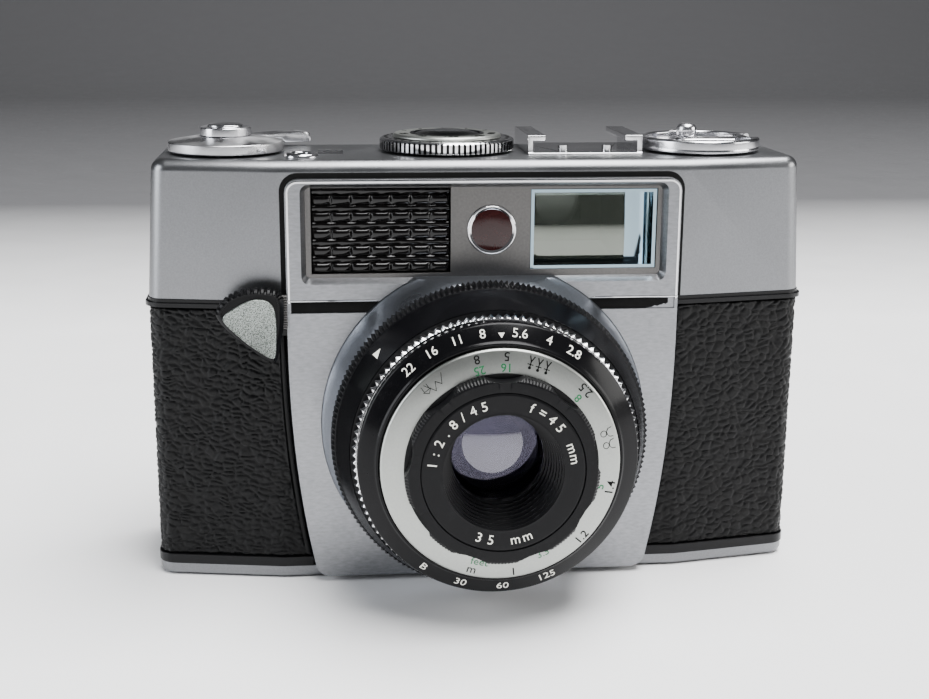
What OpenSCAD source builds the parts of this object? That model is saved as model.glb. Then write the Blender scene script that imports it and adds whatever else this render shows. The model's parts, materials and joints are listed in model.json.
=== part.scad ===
/* [Body] */
// Half of the body's width at the leather
half_w = 63.4; // [61:0.1:66]
// Distance from the middle plane to the flat front and to the back
half_d = 15.5; // [15:0.1:17]
// Height of the top cover's upper face
top_z = 82; // [80.5:0.5:84]
// Half-width of the flat middle of the front
flat_x = 39; // [38:0.5:42]
// Angle at which the two front wings sweep back
sweep = 9.66; // [8:0.1:11]
// Radius of the vertical corners
corner_r = 3.5; // [3:0.1:4.5]
// Thickness of the base plate
base_t = 2.6; // [2:0.1:3]
// Thickness of the leatherette
leather_t = 0.8; // [0.6:0.1:0.9]

/* [Lens] */
// Height of the lens axis above the base
lens_z = 32.1; // [31.5:0.1:33]
// Radius of the knurled ring
speed_r = 29.4; // [28.5:0.1:29.6]
// Radius of the fixed black bezel
bezel_r = 25; // [24.5:0.1:25.5]
// Radius of the distance scale
scale_r = 21.1; // [20.5:0.1:21.4]
// Radius of the scalloped focusing ring
focus_r = 17.1; // [16.5:0.1:17.3]
// Teeth of the knurled ring
speed_teeth = 140; // [90:1:150]
// Visible radius of the front glass
glass_r = 8.25; // [8:0.05:8.4]

/* [Top plate] */
// Radius of the film advance disc
advance_r = 11; // [10:0.1:11.5]
// Radius of the exposure dial
dial_r = 13.15; // [12.5:0.05:13.3]
// Radius of the rewind disc
rewind_r = 11.85; // [11:0.05:12]
// Outside width of the accessory shoe
shoe_w = 22.4; // [22:0.1:23]

/* [Film] */
// Radius of the two film chambers
chamber_r = 12.9; // [12.8:0.05:13]
// Width of the film gate
gate_w = 36; // [36:0.5:37]
// Height of the film gate
gate_h = 24; // [24:0.5:25]

/* [Hidden] */

CHROME = "#c9cacc";
SATIN = "#a9abad";
BLACK = "#1b1b1c";
HIDE = "#262626";
BRASS = "#b59a5a";
GLASS = "#8fa6c8";

rim_z = 4.5;                    // top of the lower black rim
rim_end = 33.1;                 // where that rim stops beside the face plate
band_z0 = 54.2;                 // lower and upper edges of the black trim band
band_z1 = 55.8;
wall = 1;                       // sheet thickness of the top cover
front_y = -half_d;              // flat front of the body
plate_y = front_y - 2.5;        // front of the face plate
plate_top = 78.8;
plate_half = 37.1;
tray_x0 = -33.4;                // recess in the face plate that holds the windows
tray_x1 = 33.6;
tray_z0 = 60.3;
tray_z1 = 77.2;
tray_y = plate_y + 1.7;         // floor of that recess
meter_x0 = -32.4;
meter_x1 = -6.4;
finder_x0 = 8.7;
finder_x1 = 27.6;
finder_z0 = 61.6;
finder_z1 = 76.6;
finder_y = plate_y + 5.2;       // front glass of the viewfinder
eye_x = 18.2;
eye_z = 69.1;
eye_r = 4.6;
advance_x = -48.4;
cap_z = 3.3;                    // underside of the advance cap above the cover
hub_r = 2.6;                    // hub of the advance lever, and how far down it reaches
hub_h = 7;
cup_r = 3.5;                    // outside of the cup that the hub turns in
dial_x = -5.65;
dial_y = 1.5;
rewind_x = 44.75;
shaft_r = 1.25;                 // rewind shaft, its sleeve and the fork at its lower end
sleeve_r = 1.9;
fork_r = 2.4;
shoe_x = 20.6;
shoe_y0 = -6;
shoe_y1 = 13.2;
shoe_t = 0.3;                   // floor of the accessory shoe
stop_x = 4.3;                   // the shoe's two rivets, either side of its middle
stop_y = -5.3;
stop_r = 0.95;
spool_x = -46.5;
chamber_y = 0.5;                // both chambers and the rewind shaft stand on this line
chamber_z0 = 5;
chamber_z1 = 54;
film_y = 12.3;                  // film plane
door_y0 = 13.5;                 // inside face of the back door
door_y1 = 14.7;                 // outside face of the back door, under its leather
rim_x0 = 59.2;                  // rim of the back door that hooks over the body's end
rim_x1 = 60.2;
hinge_x = -61.6;
hinge_y = 13.6;
sprocket_x = -27.6;
sprocket_y = 6.2;
sprocket_r = 6;
barrel_r = 21.8;                // fixed shutter barrel that the two rings turn on
path_r = 11.6;                  // light path behind the shutter
fit_gap = 0.05;                 // radial running clearance
shutter_d = 29;                 // distance from the body's middle plane to the shutter blades
iris_d = 31.2;
iris_pivot = 14;                // distance of the iris blades' pivots from the optical axis
button_x = -13;                 // rewind release button in the base
button_y = 4;
boss_r = 31.1;                  // collar of the face plate round the lens
leaf_t = 0.15;
lever_x = -24;                  // pivot of the release lever
lever_z = 51.5;
crank_x = rewind_x + 8.8;        // hinge of the folding crank
crank_z = top_z + 2.15;
socket_x = -33.9;
socket_y = -9.5;
can_r = 7.2;                    // meter movement under the exposure dial

// points of an arc, n segments
function arc(cx, cy, r, a0, a1, n) =
    [for (i = [0:n]) let (a = a0 + (a1 - a0) * i / n) [cx + r * cos(a), cy + r * sin(a)]];
// the right half of the body's outline, moved out by e, at half-width w
function half_plan(w, e, n) =
    let (cx = w - corner_r,
         fy = front_y + (cx - flat_x) * tan(sweep) + corner_r / cos(sweep))
    concat([[flat_x + e * tan(sweep / 2), front_y - e]],
        arc(cx, fy, corner_r + e, sweep - 90, 0, n),
        arc(cx, half_d - corner_r, corner_r + e, 0, 90, n));
function mirrored(pts) = [for (i = [len(pts) - 1:-1:0]) [-pts[i][0], pts[i][1]]];
function plan(w, e = 0, n = 9) = let (h = half_plan(w, e, n)) concat(h, mirrored(h));
// half-width of the face plate at height z: it narrows downwards in a shallow curve
function plate_x(z) = plate_half - 0.00059 * pow(max(0, 52 - z), 2.3);
function plate_outline(e = 0) =
    let (low = 1, lr = 3, ur = 2.4,
         side = [for (z = [8:4:52]) [plate_x(z) + e, z]],
         half = concat(arc(plate_x(low + lr) - lr, low + lr, lr + e, -90, 0, 5), side,
             arc(plate_half - ur, plate_top - ur, ur + e, 0, 90, 5)))
    concat(half, mirrored(half));

module slab(pts, z0, z1) {
    translate([0, 0, z0])
        linear_extrude(z1 - z0) polygon(pts);
}

// a box from its two corners
module block(a, b) {
    translate(a) cube(b - a);
}

// an upright plate from an outline in x and z, between y0 and y1
module front_slab(pts, y0, y1) {
    translate([0, y1, 0])
        rotate([90, 0, 0])
            linear_extrude(y1 - y0) polygon(pts);
}

// puts a shape's +Z along the optical axis, pointing forwards
module on_lens() {
    translate([0, 0, lens_z]) rotate([90, 0, 0]) children();
}

// a ring of revolution from points given as radius and forward distance
module lens_ring(pts) {
    on_lens() rotate_extrude($fn = 96) polygon(pts);
}

module disc(x, y, z0, z1, r) {
    translate([x, y, z0]) cylinder(h = z1 - z0, r = r, $fn = 64);
}

module toothed(r, depth, count, h) {
    linear_extrude(h)
        polygon([for (i = [0:2 * count - 1])
            (r - (i % 2) * depth) * [cos(180 * i / count), sin(180 * i / count)]]);
}

// ---------------------------------------------------------------- body and covers

module body_casting() {
    color(BLACK) difference() {
        union() {
            difference() {
                casting_block();
                casting_hollows();
            }
            // the two knuckles that hold the door's hinge pin
            for (span = [[rim_z + 0.1, 12], [46, band_z0]]) {
                disc(hinge_x, hinge_y, span[0], span[1], 1.5);
                block([hinge_x - 0.4, 8, span[0]], [hinge_x + 1.6, hinge_y, span[1]]);
            }
            // post of the frame counter
            disc(-22, 1, 59, top_z - 2.2, 1.15);
            // post and cup that the advance lever's hub turns in
            disc(advance_x, 0, 59, top_z - wall - fit_gap, cup_r);
            // tower that guides the rewind sleeve, up to the cover
            disc(rewind_x, chamber_y, 59, top_z - wall - fit_gap, 4);
        }
        disc(hinge_x, hinge_y, rim_z - 0.5, band_z0 + 0.5, 0.7);
        disc(advance_x, 0, 62, top_z, 1.6);
        disc(advance_x, 0, top_z - hub_h - 0.2, top_z, hub_r + fit_gap);
        disc(rewind_x, chamber_y, 58, top_z, sleeve_r + fit_gap);
        disc(rewind_x, chamber_y, 58, 60, fork_r + 0.2);
    }
}

module casting_block() {
    slab(plan(half_w, -leather_t), base_t, band_z0);
    slab(plan(half_w, -2), band_z0 - 0.1, 59.5);
}

module casting_hollows() {
    // the back is open for the door
    block([-64, door_y0 - 0.3, rim_z], [60.4, 30, band_z0 + 0.1]);
    block([-60.8, film_y, rim_z], [59, door_y0, band_z0]);
    disc(hinge_x, hinge_y, rim_z, band_z0, 1.9);
    // film chambers
    for (x = [rewind_x, spool_x]) {
        disc(x, chamber_y, chamber_z0, chamber_z1, chamber_r);
        block([x - chamber_r, chamber_y, chamber_z0], [x + chamber_r, 30, chamber_z1]);
    }
    // sprocket well
    disc(sprocket_x, sprocket_y, chamber_z0, chamber_z1, sprocket_r + 1.4);
    block([sprocket_x - 7.4, sprocket_y, chamber_z0], [sprocket_x + 7.4, 30, chamber_z1]);
    // light path from the lens to the film gate
    block([-gate_w / 2, -9, lens_z - gate_h / 2], [gate_w / 2, 30, lens_z + gate_h / 2]);
    on_lens() cylinder(h = 30, r = 15.2, $fn = 64);
    // shafts
    disc(rewind_x, chamber_y, 50, 60, fork_r + 0.2);
    disc(spool_x, chamber_y, 3.6, 57, 1.55);
    disc(sprocket_x, sprocket_y, 3.6, 57, 1.55);
    disc(0, 0, -1, 9.2, 4.99);
    // grooves beside the film rails
    block([-20, film_y - 0.6, lens_z + 13.5], [30, 30, lens_z + 17.4]);
    block([-20, film_y - 0.6, lens_z - 17.4], [30, 30, lens_z - 13.5]);
    // slot that the door's hooked rim drops into
    block([rim_x0 - 0.15, 7.7, rim_z], [rim_x1 + 0.2, 30, band_z0 + 0.1]);
    // side recess that the door catch slides in
    block([60.2, 6, 24], [64, 30, 41]);
    // well for the rewind release button
    disc(button_x, button_y, 0, 5.6, 2.6);
}

module top_cover() {
    low_w = half_w - 0.1;
    high_w = half_w - 1.6;
    edge = 2.2;
    color(SATIN) difference() {
        hull() {
            slab(plan(low_w), band_z1, band_z1 + 0.1);
            for (a = [0:15:90])
                slab(plan(high_w, edge * cos(a) - edge), top_z - 0.02 - edge * (1 - sin(a)),
                    top_z - edge * (1 - sin(a)));
        }
        hull() {
            slab(plan(low_w, -wall, 4), band_z1 - 1, band_z1 - 0.9);
            slab(plan(high_w, -wall - 0.6, 4), top_z - wall - 0.1, top_z - wall);
        }
        // opening behind the face plate
        block([-34.4, -20, band_z1 - 1], [34.4, -12, 78]);
        // holes of the top
        disc(advance_x, 0, 78, 90, hub_r + 0.1);
        disc(dial_x, dial_y, 78, 90, can_r + 0.1);
        disc(rewind_x, chamber_y, 78, 90, shaft_r + 0.25);
        disc(socket_x, socket_y, 78, 90, 2.5);
        block([-30.8, -4, 78], [-26, 3, 90]);
        for (x = [shoe_x - stop_x, shoe_x + stop_x])
            disc(x, stop_y, 78, 90, stop_r + 0.02);
        // eyepiece hole of the back
        translate([eye_x, 30, eye_z]) rotate([90, 0, 0]) cylinder(h = 20, r = eye_r + 1.6, $fn = 48);
    }
}

module base_plate() {
    color(SATIN) difference() {
        hull() {
            slab(plan(half_w, -1.2), 0, 0.1);
            slab(plan(half_w, -0.35), 0.5, 0.6);
            slab(plan(half_w), 1.3, base_t);
        }
        disc(0, 0, -1, 5, 5);
        disc(button_x, button_y, -1, 5, 2.6);
        for (x = [-50, 50], y = [-6, 9]) {
            disc(x, y, -1, 5, 0.9);
            disc(x, y, -1, 0.9, 1.9);
        }
    }
}

module trim_band() {
    color(BLACK) difference() {
        union() {
            slab(plan(half_w, 0.1), band_z0, band_z1);
            slab(plan(half_w, 0.6), band_z0 + 0.1, band_z0 + 0.9);
        }
        slab(plan(half_w, -2), band_z0 - 1, band_z1 + 1);
        block([-37.3, -20, 50], [37.3, -14.7, 60]);
        disc(hinge_x, hinge_y, band_z0 - 1, band_z0 + 0.5, 0.7);
    }
}

module base_rim() {
    color(BLACK) difference() {
        slab(plan(half_w, 0.2), base_t, rim_z);
        slab(plan(half_w, -leather_t), base_t - 1, rim_z + 1);
        block([-rim_end, -20, base_t - 1], [rim_end, -14.7, rim_z + 1]);
    }
}

// one strip of leatherette from the face plate round the side to the back door
module leather_wrap() {
    difference() {
        slab(plan(half_w, 0), rim_z, band_z0);
        slab(plan(half_w, -leather_t), rim_z - 1, band_z0 + 1);
        block([-flat_x + 1.6, -20, 0], [70, 20, 90]);
        block([-70, 11.2, 0], [70, 20, 90]);
    }
}

// the same strip with the tongue that fills the gap along the plate's curved edge
module leather_panel() {
    leather_wrap();
    difference() {
        block([-flat_x + 1.6, front_y, rim_z], [-30, front_y + leather_t, band_z0]);
        front_slab(plate_outline(0.2), -20, 0);
    }
}

module leather_left() {
    color(HIDE) leather_panel();
}

module leather_right() {
    color(HIDE) difference() {
        mirror([1, 0, 0]) leather_panel();
        block([60, 6.5, 23.5], [70, 20, 41.5]);
    }
}

module tripod_bush() {
    color(CHROME) difference() {
        disc(0, 0, 0, 9, 4.99);
        disc(0, 0, -1, 7.5, 3.175);
    }
}

module base_screws() {
    color(CHROME) for (x = [-50, 50], y = [-6, 9])
        difference() {
            union() {
                disc(x, y, 0.1, 0.9, 1.8);
                disc(x, y, 0.9, base_t, 0.85);
            }
            block([x - 2, y - 0.25, 0], [x + 2, y + 0.25, 0.5]);
        }
}

// ---------------------------------------------------------------- front

function rounded(x0, z0, x1, z1, r, n = 4) = concat(
    arc(x1 - r, z0 + r, r, -90, 0, n), arc(x1 - r, z1 - r, r, 0, 90, n),
    arc(x0 + r, z1 - r, r, 90, 180, n), arc(x0 + r, z0 + r, r, 180, 270, n));

module face_plate() {
    color(SATIN) difference() {
        union() {
            front_slab(plate_outline(), plate_y + 0.5, front_y + leather_t);
            front_slab(plate_outline(-0.5), plate_y, plate_y + 1);
        }
        on_lens() cylinder(h = 60, r = boss_r + 0.05, $fn = 128);
        // bevelled opening round the windows
        hull() {
            front_slab(rounded(tray_x0 - 0.9, tray_z0 - 1, tray_x1 + 0.9, tray_z1 + 0.8, 1.6),
                plate_y - 0.1, plate_y);
            front_slab(rounded(tray_x0, tray_z0, tray_x1, tray_z1, 1), tray_y - 0.1, tray_y);
        }
        block([tray_x0, tray_y - 0.1, tray_z0], [tray_x1, 0, tray_z1]);
        // groove of the black stripe
        block([-36.4, -30, 53.9], [36.4, plate_y + 0.4, 56.1]);
        lever_pocket();
        // the body's covers stand behind it
        block([-50, front_y, band_z1], [50, 10, 100]);
        behind_base();
    }
}

// pocket and side slot for the release lever's arm
module lever_pocket() {
    block([-38, front_y - 1.3, 45.8], [-19, 0, 54.2]);
}

// front edge of the base plate, which the face plate and the collar stand in front of
module behind_base() {
    block([-50, front_y, -1], [50, 10, base_t]);
}

// collar round the shutter, cut flat on top where it meets the window recess
module lens_boss() {
    color(SATIN) difference() {
        lens_ring([[27.9, 14.75], [27.9, 24.2], [28.2, 24.4], [28.6, 24.1], [30.3, 19.2],
            [boss_r - 0.2, 18.5], [boss_r, 18], [boss_r, 14.75]]);
        block([-40, -30, tray_z0], [40, 0, 70]);
        lever_pocket();
        behind_base();
    }
}

// tray with the silver middle panel, open at the two windows
module window_tray() {
    color(CHROME) difference() {
        block([tray_x0, tray_y, tray_z0], [tray_x1, front_y + 1, tray_z1]);
        block([meter_x0, -30, 61], [meter_x1, 0, 77.1]);
        block([finder_x0 - 0.1, -30, finder_z0 - 0.1], [finder_x1 + 5.2, 0, finder_z1 + 0.1]);
        translate([1.3, tray_y + 0.3, eye_z]) rotate([90, 0, 0]) cylinder(h = 5, r = 4.7, $fn = 48);
    }
}

module badge() {
    color(BLACK) translate([1.3, tray_y + 0.3, eye_z]) rotate([90, 0, 0]) {
        cylinder(h = 0.5, r = 4.65, $fn = 48);
        cylinder(h = 0.8, r = 3.9, $fn = 48);
    }
}

module meter_window() {
    columns = 7;
    rows = 5;
    pitch_x = (meter_x1 - meter_x0) / columns;
    pitch_z = 16 / rows;
    color(BLACK) union() {
        block([meter_x0 + 0.05, tray_y + 0.5, 61.05], [meter_x1 - 0.05, tray_y + 2, 77.05]);
        for (i = [0:columns - 1], j = [0:rows - 1])
            translate([meter_x0 + (i + 0.5) * pitch_x, tray_y + 0.9, 61.05 + (j + 0.5) * pitch_z])
                intersection() {
                    sphere(r = 1.5, $fn = 16);
                    block([-2, -2, -2], [2, 0.2, 2]);
                }
    }
}

module selenium_cell() {
    color("#5a4a48") block([meter_x0 + 0.3, tray_y + 2.2, 61.4], [meter_x1 - 0.3, tray_y + 3.4, 76.7]);
}

// polished reveal that leads down to the viewfinder's front glass
module finder_reveal() {
    color(CHROME) difference() {
        block([finder_x0, tray_y + 0.05, finder_z0], [finder_x1 + 5, finder_y + 1.4, finder_z1]);
        block([finder_x0 + 0.6, -30, finder_z0 + 0.6], [finder_x1 - 0.2, 0, finder_z1 - 0.6]);
        // the right side opens in a quarter round
        translate([finder_x1 - 0.25, tray_y - 0.3, finder_z0 + 0.6])
            intersection() {
                cylinder(h = finder_z1 - finder_z0 - 1.2, r = 4.6, $fn = 48);
                block([0, -1, -1], [6, 6, 20]);
            }
    }
}

module finder_tube() {
    z0 = finder_z0 - 0.2;
    z1 = finder_z1 + 0.2;
    back = 10.5;
    color(BLACK) {
        difference() {
            block([finder_x0 - 0.6, finder_y + 1.45, z0], [finder_x1 + 0.6, back, z1]);
            block([finder_x0 + 0.6, -30, z0 + 1.2], [finder_x1 - 0.6, back - 1.2, z1 - 1.2]);
            block([eye_x - eye_r, 0, eye_z - eye_r], [eye_x + eye_r, 30, eye_z + eye_r]);
        }
        // eyepiece ring behind the square hole
        translate([eye_x, 16.6, eye_z]) rotate([90, 0, 0]) difference() {
            cylinder(h = 16.6 - back - fit_gap, r = eye_r + 1.5, $fn = 48);
            translate([0, 0, -1]) cylinder(h = 9, r = eye_r, $fn = 48);
        }
    }
}

module finder_front_lens() {
    color(GLASS) block([finder_x0 + 0.65, finder_y, finder_z0 + 0.65],
        [finder_x1 - 0.25, finder_y + 1.4, finder_z1 - 0.65]);
}

module finder_eye_lens() {
    color(GLASS) translate([eye_x, 14.4, eye_z]) rotate([90, 0, 0])
        intersection() {
            cylinder(h = 2.4, r = eye_r - 0.02, $fn = 48);
            translate([0, 0, 17.6]) sphere(r = 17.6, $fn = 64);
        }
}

// ---------------------------------------------------------------- lens and shutter

module shutter_housing() {
    color(BLACK) lens_ring([[path_r, 13.6], [15, 13.6], [15, 14.75], [27.8, 14.75], [27.8, 19.6],
        [barrel_r, 20.4], [barrel_r, 39], [15.4, 39], [15.4, 34], [18.5, 34], [18.5, 27.6],
        [path_r, 27.6]]);
}

module rear_lens() {
    color(GLASS) on_lens() translate([0, 0, 20])
        intersection() {
            cylinder(h = 4.5, r = path_r - 0.02, $fn = 64);
            translate([0, 0, 27]) sphere(r = 27, $fn = 96);
        }
}

module front_bezel() {
    color(BLACK) lens_ring([[15.4, 39.05], [bezel_r - 0.5, 39.05], [bezel_r, 39.4],
        [bezel_r, 41.3], [bezel_r - 0.3, 41.5], [21.6, 43.1], [21.2, 43.3], [15.4, 43.3]]);
}

module speed_ring() {
    inner = barrel_r + fit_gap;
    color(BLACK) {
        difference() {
            on_lens() translate([0, 0, 25.2]) toothed(speed_r, 0.45, speed_teeth, 4.85);
            on_lens() cylinder(h = 60, r = 27, $fn = 96);
        }
        lens_ring([[inner, 34], [inner, 36.8], [26.2, 36.8], [28.7, 30.1], [28.7, 25], [27, 25],
            [27, 29.4], [24.6, 34]]);
    }
}

module aperture_ring() {
    inner = barrel_r + fit_gap;
    color(CHROME) difference() {
        on_lens() translate([0, 0, 37]) toothed(25.9, 0.5, 124, 1.9);
        on_lens() cylinder(h = 60, r = inner, $fn = 96);
    }
}

module distance_scale() {
    color(CHROME) lens_ring([[16.2, 43.5], [scale_r - 0.1, 43.5], [scale_r, 43.6], [scale_r, 44.2],
        [scale_r - 0.25, 44.4], [17, 45.3], [16.2, 45.3]]);
}

module focus_ring() {
    lobes = 9;
    color(BLACK) difference() {
        union() {
            lens_ring([[14.4, 45.4], [focus_r, 45.4], [focus_r, 47.9], [focus_r - 0.5, 48.35],
                [14.4, 48.35]]);
            lens_ring([[13.2, 36.2], [15.35, 36.2], [15.35, 43.4], [16.15, 43.4], [16.15, 45.5],
                [13.2, 45.5]]);
        }
        for (i = [0:lobes - 1])
            on_lens() rotate(360 / lobes * (i + 0.5)) translate([26.6, 0, 45.5])
                cylinder(h = 5, r = 10.3, $fn = 48);
    }
}

// mount of the front glass, with the light-trap steps that lead down to it
module front_cell() {
    steps = 6;
    color(BLACK) lens_ring(concat(
        [[8.9, 34.4], [13.1, 34.4], [13.1, 45.6], [14.3, 45.6], [14.3, 48.3], [10.8, 48.3]],
        [for (i = [0:2 * steps - 1])
            [10.7 - 0.38 * floor((i + 1) / 2), 48.1 - 1.5 * floor(i / 2) - (i % 2) * 0.3]],
        [[glass_r, 39.0], [glass_r, 38.4], [8.9, 38.2]]));
}

module front_lens() {
    color(GLASS) on_lens() translate([0, 0, 34.6])
        intersection() {
            cylinder(h = 5, r = 8.85, $fn = 64);
            translate([0, 0, 3.55 - 26]) sphere(r = 26, $fn = 96);
        }
}

// three leaves that meet at the centre when the shutter is closed
module shutter_leaf(i) {
    leaf_r = 7.7;
    pivot_r = 13;
    on_lens() rotate(120 * i) translate([0, 0, shutter_d + 0.4 * i]) difference() {
        linear_extrude(leaf_t)
            polygon(concat(arc(0, 0, leaf_r, -100, -28, 8),
                arc(pivot_r, 0, 1.7, -80, 80, 6), arc(0, 0, leaf_r, 24, 30, 1), [[-0.7, 0.3]]));
        translate([pivot_r, 0, -1]) cylinder(h = 2, r = 0.55, $fn = 24);
    }
}

module shutter_blade_1() {
    color("#606468") shutter_leaf(0);
}

module shutter_blade_2() {
    color("#606468") shutter_leaf(1);
}

module shutter_blade_3() {
    color("#606468") shutter_leaf(2);
}

// one of the iris's two notched blades; the other is the same, turned half round
module iris_leaf(i) {
    on_lens() rotate(180 * i) translate([0, 0, iris_d + 0.4 * i]) difference() {
        linear_extrude(leaf_t)
            polygon([[1.6, 15.2], [1.8, 13], [-4, 9.6], [-8, 5.2], [-9.2, 0], [-8, -5.2], [-6.4, -9],
                [-10, -11], [-13.6, -7], [-15, 0], [-13, 8], [-7, 13.4], [-1.5, 15.8]]);
        translate([0, iris_pivot, -1]) cylinder(h = 2, r = 0.55, $fn = 24);
    }
}

module iris_blade_1() {
    color("#44474a") iris_leaf(0);
}

module iris_blade_2() {
    color("#44474a") iris_leaf(1);
}

// ---------------------------------------------------------------- top plate

module accessory_shoe() {
    half = shoe_w / 2;
    lip = 3.4;
    color(CHROME) difference() {
        union() {
            block([shoe_x - half, shoe_y0 - 0.6, top_z], [shoe_x + half, shoe_y1, top_z + shoe_t]);
            for (s = [-1, 1]) {
                block([shoe_x + s * half - (s > 0 ? 1 : 0), shoe_y0, top_z],
                    [shoe_x + s * half + (s > 0 ? 0 : 1), shoe_y1, top_z + 3.6]);
                block([shoe_x + (s > 0 ? half - lip : -half), shoe_y0, top_z + 2.6],
                    [shoe_x + (s > 0 ? half : -half + lip), shoe_y1, top_z + 3.6]);
            }
        }
        for (x = [shoe_x - stop_x, shoe_x + stop_x])
            disc(x, stop_y, 78, 90, stop_r + 0.02);
    }
}

// two rivets that hold the shoe down and stop the accessory's foot
module shoe_rivets() {
    color(CHROME) for (x = [shoe_x - stop_x, shoe_x + stop_x]) {
        disc(x, stop_y, top_z - 1.6, top_z + 1.7, stop_r);
        disc(x, stop_y, top_z - 1.6, top_z - 1, stop_r + 0.5);
    }
}

module cable_socket() {
    color(CHROME) difference() {
        union() {
            disc(socket_x, socket_y, top_z, top_z + 0.6, 3.3);
            disc(socket_x, socket_y, top_z + 0.6, top_z + 1, 2.9);
            disc(socket_x, socket_y, top_z - 5, top_z, 2.45);
        }
        disc(socket_x, socket_y, top_z - 4.5, top_z + 2, 1.6);
    }
}

module counter_window() {
    color(GLASS) block([-30.75, -3.95, top_z - 0.9], [-26.05, 2.95, top_z - 0.15]);
}

module counter_disc() {
    color("white") difference() {
        disc(-22, 1, top_z - 3, top_z - 2.4, 8.6);
        disc(-22, 1, 70, 90, 1.2);
    }
}

module meter_movement() {
    color(BLACK) difference() {
        disc(dial_x, dial_y, 59.5, top_z + 3.6, can_r);
        disc(dial_x, dial_y, top_z + 1.2, top_z + 4, can_r - 0.6);
        disc(dial_x, dial_y - 4, top_z - 1, top_z + 4, 0.55);
    }
}

// the needle stands at the dark end of its scale
module meter_needle() {
    color("orange") translate([dial_x, dial_y - 4, top_z]) rotate(35) {
        disc(0, 0, -0.4, 1.9, 0.5);
        disc(0, 0, 1.5, 1.9, 1.1);
        block([-0.15, 0, 1.6], [0.15, 9, 1.8]);
    }
}

module meter_glass() {
    color(GLASS) translate([dial_x, dial_y, top_z + 2.8])
        intersection() {
            cylinder(h = 1.6, r = can_r - 0.62, $fn = 48);
            translate([0, 0, 1.5 - 24]) sphere(r = 24, $fn = 96);
        }
}

module dial_ring() {
    color(CHROME) difference() {
        union() {
            translate([dial_x, dial_y, top_z + 0.6]) toothed(dial_r, 0.3, 90, 2);
            disc(dial_x, dial_y, top_z + 0.3, top_z + 2.8, dial_r - 0.35);
        }
        disc(dial_x, dial_y, top_z - 1, top_z + 9, can_r + fit_gap);
    }
}

module film_speed_disc() {
    color(CHROME) difference() {
        union() {
            disc(dial_x, dial_y, top_z + 2.85, top_z + 3.2, 10.6);
            disc(dial_x, dial_y, top_z + 3.2, top_z + 3.5, 10.2);
        }
        disc(dial_x, dial_y, top_z - 1, top_z + 9, can_r + fit_gap);
    }
}

module advance_lever() {
    color(CHROME) difference() {
        union() {
            // a thick rim and a shallow cone up to the cap
            translate([advance_x, 0, top_z]) rotate_extrude($fn = 96)
                polygon([[1, 0.3], [advance_r, 0.3], [advance_r, 1.95], [advance_r - 0.3, 2.2],
                    [5.2, cap_z - 0.1], [1, cap_z - 0.1]]);
            disc(advance_x, 0, top_z - hub_h, top_z + 0.4, hub_r);
            // arm that the thumb pushes, just off the cover's back edge
            hull() {
                disc(advance_x + 4, 8, top_z + 1.6, top_z + 2.6, 3);
                disc(-36, 12, top_z + 1.9, top_z + 2.9, 2.2);
            }
            hull() {
                disc(-36, 12, top_z + 0.8, top_z + 2.9, 2.2);
                disc(-33.4, 13.4, top_z + 0.8, top_z + 2.9, 1.4);
            }
        }
        disc(advance_x, 0, top_z - 8, top_z + 9, 1.6);
    }
}

module advance_cap() {
    color(CHROME) union() {
        disc(advance_x, 0, top_z + cap_z, top_z + 4.9, 4.9);
        disc(advance_x, 0, top_z + 4.9, top_z + 5.5, 3.4);
        disc(advance_x, 0, 62, top_z + cap_z + 0.1, 1.55);
    }
}

module take_up_spool() {
    color(BLACK) difference() {
        union() {
            disc(spool_x, chamber_y, 5.4, 53.6, 5.6);
            disc(spool_x, chamber_y, 3.8, 56.8, 1.5);
            disc(spool_x, chamber_y, 5.4, 6.4, 9);
            disc(spool_x, chamber_y, 50, 51, 7);
        }
        block([spool_x - 0.6, -10, 14], [spool_x + 0.6, 10, 46]);
    }
}

module sprocket() {
    color(CHROME) union() {
        disc(sprocket_x, sprocket_y, 5.4, 53.6, 3.4);
        disc(sprocket_x, sprocket_y, 3.8, 56.8, 1.5);
        for (z = [lens_z - 14.1, lens_z + 14.1]) {
            disc(sprocket_x, sprocket_y, z - 3.4, z + 3.4, sprocket_r - 0.2);
            translate([sprocket_x, sprocket_y, z - 0.6])
                for (i = [0:7])
                    rotate(45 * i + 22.5) translate([sprocket_r - 1, -0.6, 0]) cube([1.9, 1.2, 1.2]);
        }
    }
}

// sleeve that carries the rewind shaft and lifts with it when a cassette is changed
module rewind_bush() {
    color(BRASS) difference() {
        disc(rewind_x, chamber_y, 53, 69, sleeve_r);
        disc(rewind_x, chamber_y, 50, 70, shaft_r + fit_gap);
    }
}

module rewind_knob() {
    floor_z = top_z + 1.3;
    color(CHROME) difference() {
        union() {
            disc(rewind_x, chamber_y, top_z + 0.3, top_z + 2.9, rewind_r);
            disc(rewind_x, chamber_y, 51.9, top_z + 0.4, shaft_r);
            // fork that turns the cassette's core
            disc(rewind_x, chamber_y, 50, 52.4, fork_r);
        }
        block([rewind_x - 0.6, -5, 49], [rewind_x + 0.6, 6, 51.6]);
        // recess that the folding crank lies in
        disc(rewind_x, chamber_y, floor_z, top_z + 5, rewind_r - 1.4);
        block([rewind_x + 2, chamber_y - 3.6, floor_z], [rewind_x + 20, chamber_y + 3.6, top_z + 5]);
        crank_axle(0.52);
    }
}

module crank_axle(r) {
    translate([crank_x, chamber_y + 4.3, crank_z])
        rotate([90, 0, 0]) cylinder(h = 8.6, r = r, $fn = 24);
}

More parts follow.
